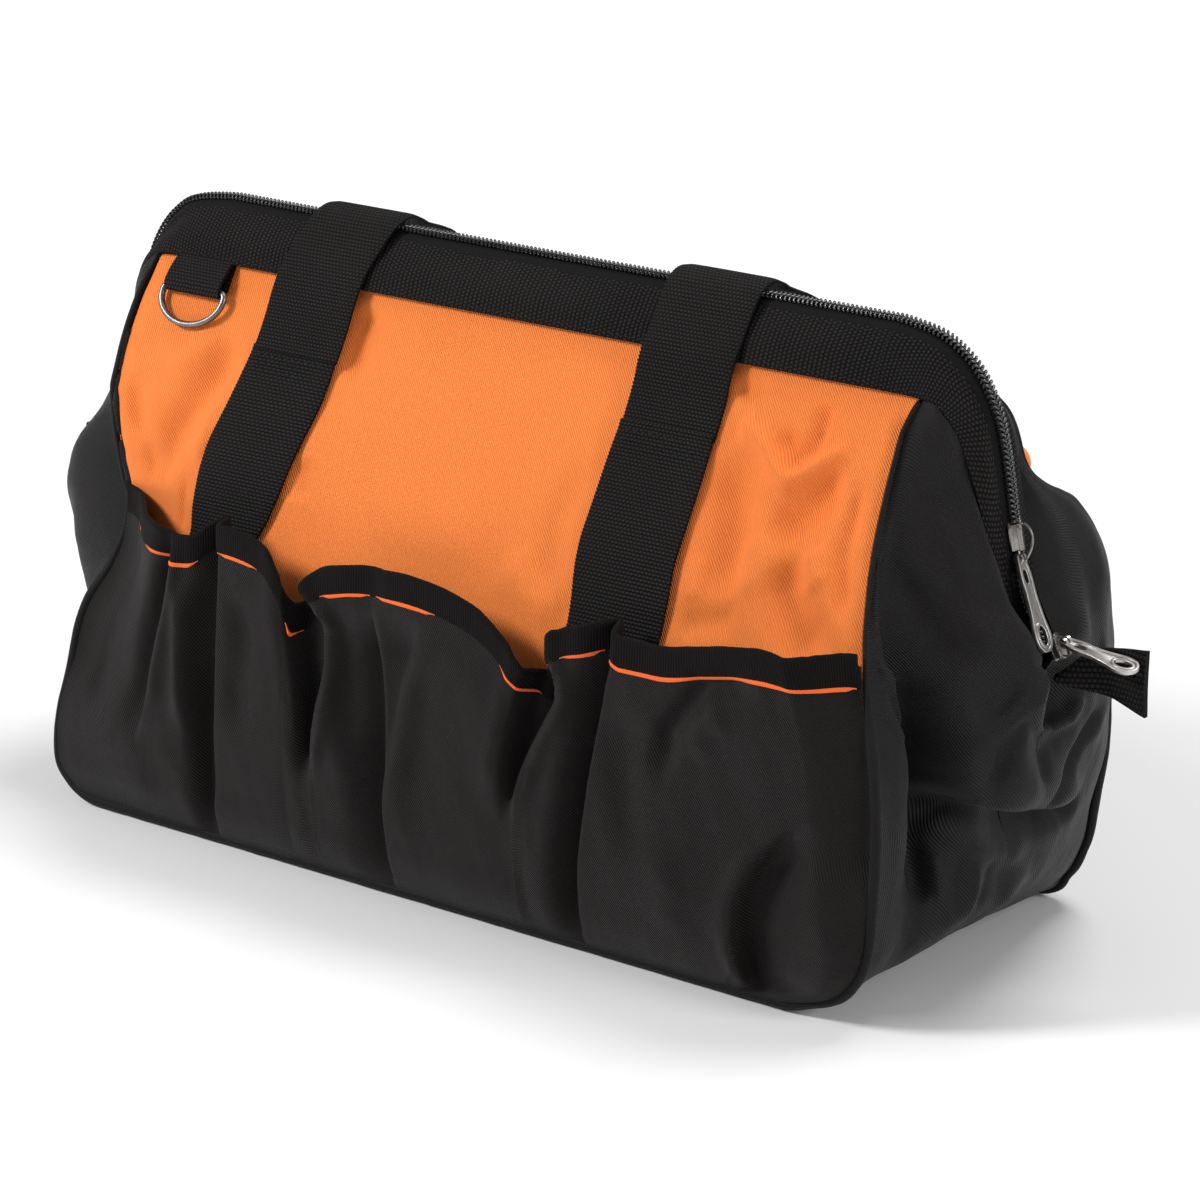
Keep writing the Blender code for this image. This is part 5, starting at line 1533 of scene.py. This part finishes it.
def pull(name, hinge, d, across, length):
    """Tapered plate with a slot near the eye, an oval finger hole and a raised rim."""
    d = unit(np.array(d, float))
    q = np.array(across, float)
    q = unit(q - d * np.dot(q, d))
    n = np.cross(d, q)
    hinge = np.array(hinge, float)
    L = length
    half = [(-1.1, 1.9), (1.2, 2.3), (6.5, 3.0), (13, 2.75), (L - 12, 3.5), (L - 5.5, 4.45),
            (L - 1.6, 3.3), (L, 0.9)]
    # smooth closed outline
    pts = half + [(a, -b) for a, b in reversed(half)]
    P = np.array(pts + pts[:1])
    dd = np.r_[0, np.cumsum(np.linalg.norm(np.diff(P, axis=0), axis=1))]
    tt = np.linspace(0, dd[-1], 110)[:-1]
    out = np.stack([curve(dd, P[:, k], tt, limit=False) for k in range(2)], 1)
    inset = []
    c0 = out.mean(0)
    Tn = unit(np.roll(out, -1, 0) - np.roll(out, 1, 0))
    Nn = np.stack([-Tn[:, 1], Tn[:, 0]], 1)
    if np.sum(Nn * (out - c0)) > 0:
        Nn = -Nn
    inset = out + Nn * 0.85
    slot = [(x, y) for x, y in oval(4.0, 0, 2.9, 1.25, 22)]
    slot = [(4.0 + 2.9 * np.sign(math.cos(a)) * abs(math.cos(a)) ** .8,
             1.3 * np.sign(math.sin(a)) * abs(math.sin(a)) ** .9)
            for a in np.linspace(0, 2 * math.pi, 26)[:-1]]
    hole = oval(L - 6.0, 0, 3.9, 2.25, 28)
    eye = oval(0.35, 0, .95, 1.15, 14)
    M = axes(hinge, d, q, n)
    parts = [plate(name, out.tolist(), [slot_shift(slot, 2.6), hole], .8, .15, M, None)]
    parts.append(plate(name, out.tolist(), [inset.tolist()], 1.7, .22, M, None))
    rim = oval(L - 6.0, 0, 4.75, 3.0, 30)
    parts.append(plate(name, rim, [hole], 1.6, .25, M, None))
    # rolled eye round the bail
    a = np.linspace(0, 2 * math.pi, 25)[:-1]
    for sg in (-1, 1):
        ring = []
        for ca, r in ((-.75, 1.0), (-.75, 2.0), (.75, 2.0), (.75, 1.0)):
            ring.append(hinge[None] + d[None] * (np.cos(a) * r)[:, None] + n[None] * (np.sin(a) * r)[:, None]
                        + q[None] * (sg * 1.0 + ca * .9))
        R = np.stack(ring, 1)
        V = R.reshape(-1, 3)
        m = len(a)
        F = [[i * 4 + j, i * 4 + (j + 1) % 4, ((i + 1) % m) * 4 + (j + 1) % 4, ((i + 1) % m) * 4 + j]
             for i in range(m) for j in range(4)]
        parts.append((V, F, np.zeros((len(V), 2))))
    ob = merged(name + "_plate", parts, GUN, 35)
    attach(ob, name)
    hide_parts(name)


def slot_shift(loop, dx):
    return [(x + dx, y) for x, y in loop]


def tail(right):
    """Folded ribbed tape tab at the zip's end."""
    sg = 1 if right else -1
    x0, x1 = (228.0, 262.0) if right else (226.0, 261.5)
    us = np.linspace(0, 1, 48)
    xs = x0 + (x1 - x0) * us
    lo = curve([0, .1, .4, 1], [118.6, 118.0, 115.6, 110.6], us)
    hi = curve([0, .12, .26, .6, 1], [122.0, 125.0, 130.0, 133.2, 135.6], us)
    if not right:
        lo, hi = lo - 2.5 * us, hi - 4.0 * us
    yc = 1.6 + 8.2 * smooth(us / .55) - 2.0 * smooth((us - .55) / .45) + 0.5 * noise2(us * 4, 0 * us, 61)
    n = 13
    rings = []
    for x, a, b, y in zip(xs, lo, hi, yc):
        f = np.linspace(0, 1, n)
        z = a + (b - a) * f
        puffy = 1.15 + 0.5 * np.sin(f * math.pi) ** .6
        bend = 0.8 * np.sin(f * math.pi)
        ring = [(sg * x, y - puffy[k] - bend[k], z[k]) for k in range(n)]
        ring += [(sg * x, y + puffy[k] * .8 - bend[k], z[k]) for k in range(n - 1, -1, -1)]
        rings.append(ring)
    R = np.array(rings)
    U = np.broadcast_to((xs - x0)[:, None], (48, n))
    V = (lo[:, None] + (hi - lo)[:, None] * np.linspace(0, 1, n)[None, :])
    UV = np.concatenate([np.stack([V, U], 2), np.stack([V + 30, U], 2)[:, ::-1]], 1)
    nm = "zip_tail_" + ("right" if right else "left")
    ob = loft(nm + "_tape", R, TAIL, UV, sharp=60)
    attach(ob, "root")
    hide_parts(nm)


# ============================ build ===========================================
FUS = [0, .17, .33, .42, .66, .87, 1.0]
LUS = [0, .15, .23, .40, .66, .87, 1.0]
BUS = [0, .12, .34, .62, .83, 1.0]

for side in (FRONT, BACK):
    upper_panel(side)
    lower_panel(side)
    pockets(side)
    binding(side)
    trim(side)
    piping(side)
    seam_cords(side)
    band(side)
    coil(side)
    for i in (0, 1):
        strap(side, i)
    d_ring(side)
    ring_loop(side)

gusset("gusset_right_front_cloth", RF, FUS, True, FRONT,
       ("gusset_lower_right", "gusset_upper_front_right"), 81, 0)
gusset("gusset_left_front_cloth", LF, LUS, False, FRONT,
       ("gusset_lower_left", "gusset_upper_front_left"), 85, 0)
gusset("gusset_right_back_cloth", RB, BUS, True, BACK, ("gusset_upper_back_right",), 91, -1)
gusset("gusset_left_back_cloth", left_back(), BUS, False, BACK, ("gusset_upper_back_left",), 95, -1)
base()
tail(True)
tail(False)

# front handle: from the last sewn stitches, over the band and the zip, down behind
front_prof = []
for t_, w_ in ((93, 1.7), (100, 1.9), (108, 2.4), (116, 3.8), (124, 5.0), (132, 5.2), (139, 5.2)):
    front_prof.append((-77 + t_ * SIN - w_ * COS, 112 + t_ * COS + w_ * SIN))
front_prof += [(-8.8, 241.3), (-5.6, 245.0), (-1.4, 247.2), (3.4, 247.4), (8.2, 245.7),
               (13.0, 242.9)]
fall = math.radians(40)
for k in (20, 36, 58, 85, 125):
    front_prof.append((17.0 + k * math.cos(fall), 248.4 - k * math.sin(fall)
                       - 1.6 * math.exp(-(k / 25.0) ** 2)))
handle(FRONT, front_prof, 56.0 + 132.0,
       ([0, 25, 40, 52, 64, 90, 130], [0, 1.5, 4, 8, 11, 9, 0], [0, 0, 1, 1.5, 2, 2, 0]))

back_prof = [(29.6, 198.8), (29.9, 201.2), (32.4, 202.9), (36.4, 201.6), (41.8, 196.6)]
for k in (10, 30, 60, 100, 150, 166):
    back_prof.append((41.8 + k * 0.64, 195.4 - k * 0.768))
handle(BACK, back_prof, 166.0, ([0, 60], [0, 0], [0, 0]))

UPPER_AXIS = (-0.1997, 0.0, 0.9799)
LOWER_AXIS = (-0.487933, 0.0, 0.872881)
slider("slider_upper", (209.7, 170.8), UPPER_AXIS, 0.0, 30)
slider("slider_lower", (225.6, 130.6), LOWER_AXIS, 4.0, 12, .82)
ud = unit(np.array([0.453, -0.157, -0.877]))
uq = np.array([0, 1.0, 0]) - ud * ud[1]
pull("pull_upper", np.array([213.2, -2.4, 163.2]), ud, uq, 34.8)
pull("pull_lower", (229.8, 3.6, 133.6), unit([1, -.08, -.12]), (0, 1, .26), 31.5)

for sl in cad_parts["base_board"].material_slots:
    sl.material = BOARDM


# ============================ stage ===========================================
def floor():
    m = Mat("floor_pale", 0.9, 0.1)
    n = m.noise(m.obj, 3.0, 4.0, 0.6)
    m.colour(m.mix(n, (0.90, 0.90, 0.90), (0.93, 0.93, 0.93)))
    m.bump(m.noise(m.obj, 900.0, 2.0), 0.02, .3)
    # the far floor glows a little so the backdrop stays pale behind the bag
    ln = m.t.nodes.new("ShaderNodeVectorMath")
    ln.operation = "LENGTH"
    m.t.links.new(m.obj, ln.inputs[0])
    far = m.f("MULTIPLY_ADD", ln.outputs["Value"], 0.8, -0.55, clamp=True)
    m.b.inputs["Emission Color"].default_value = (1, 1, 1, 1)
    m.put(m.b.inputs["Emission Strength"], m.f("MULTIPLY", far, 0.7))
    V = [(-9000, -9000, 0), (9000, -9000, 0), (9000, 9000, 0), (-9000, 9000, 0)]
    ob = make("floor", V, [(0, 1, 2, 3)], m.m, [(0, 0), (1, 0), (1, 1), (0, 1)])
    if ob.data.polygons[0].normal.z < 0:
        ob.data.flip_normals()


def area_light(name, at, to, size, power, col=(1, 1, 1)):
    li = bpy.data.lights.new(name, "AREA")
    li.shape = "DISK"
    li.size = size
    li.energy = power
    li.color = col
    ob = bpy.data.objects.new(name, li)
    bpy.context.scene.collection.objects.link(ob)
    ob.location = at
    ob.rotation_euler = (Vector(to) - Vector(at)).to_track_quat("-Z", "Y").to_euler()


floor()
area_light("key", (-1.15, -1.30, 1.30), (-0.05, 0, .10), 0.55, 34.5)
area_light("fill", (2.2, 0.1, 1.1), (0.1, 0, .12), 1.0, 22)
area_light("top", (0.3, 0.9, 2.3), (0, 0, .15), 1.2, 30)
world = bpy.data.worlds.new("studio")
world.use_nodes = True
world.node_tree.nodes["Background"].inputs[0].default_value = (1.0, 1.0, 1.0, 1)
world.node_tree.nodes["Background"].inputs[1].default_value = 0.25
bpy.context.scene.world = world

AZ, EL = math.radians(37.8), math.radians(17.8)
back = Vector((math.sin(AZ) * math.cos(EL), -math.cos(AZ) * math.cos(EL), math.sin(EL)))
right = Vector((math.cos(AZ), math.sin(AZ), 0))
up = back.cross(right)
cam = bpy.data.cameras.new("camera")
cam.lens = 132.0
cam.sensor_width = 36.0
cam.sensor_fit = "HORIZONTAL"
cam.clip_end = 60
cam_ob = bpy.data.objects.new("camera", cam)
bpy.context.scene.collection.objects.link(cam_ob)
M = Matrix.Identity(4)
for i in range(3):
    M[i][0], M[i][1], M[i][2] = right[i], up[i], back[i]
M[0][3], M[1][3], M[2][3] = 1.0193, -1.2880, 0.6325
cam_ob.matrix_world = M
bpy.context.scene.camera = cam_ob
bpy.context.scene.view_settings.view_transform = "Standard"
bpy.context.scene.view_settings.look = "None"
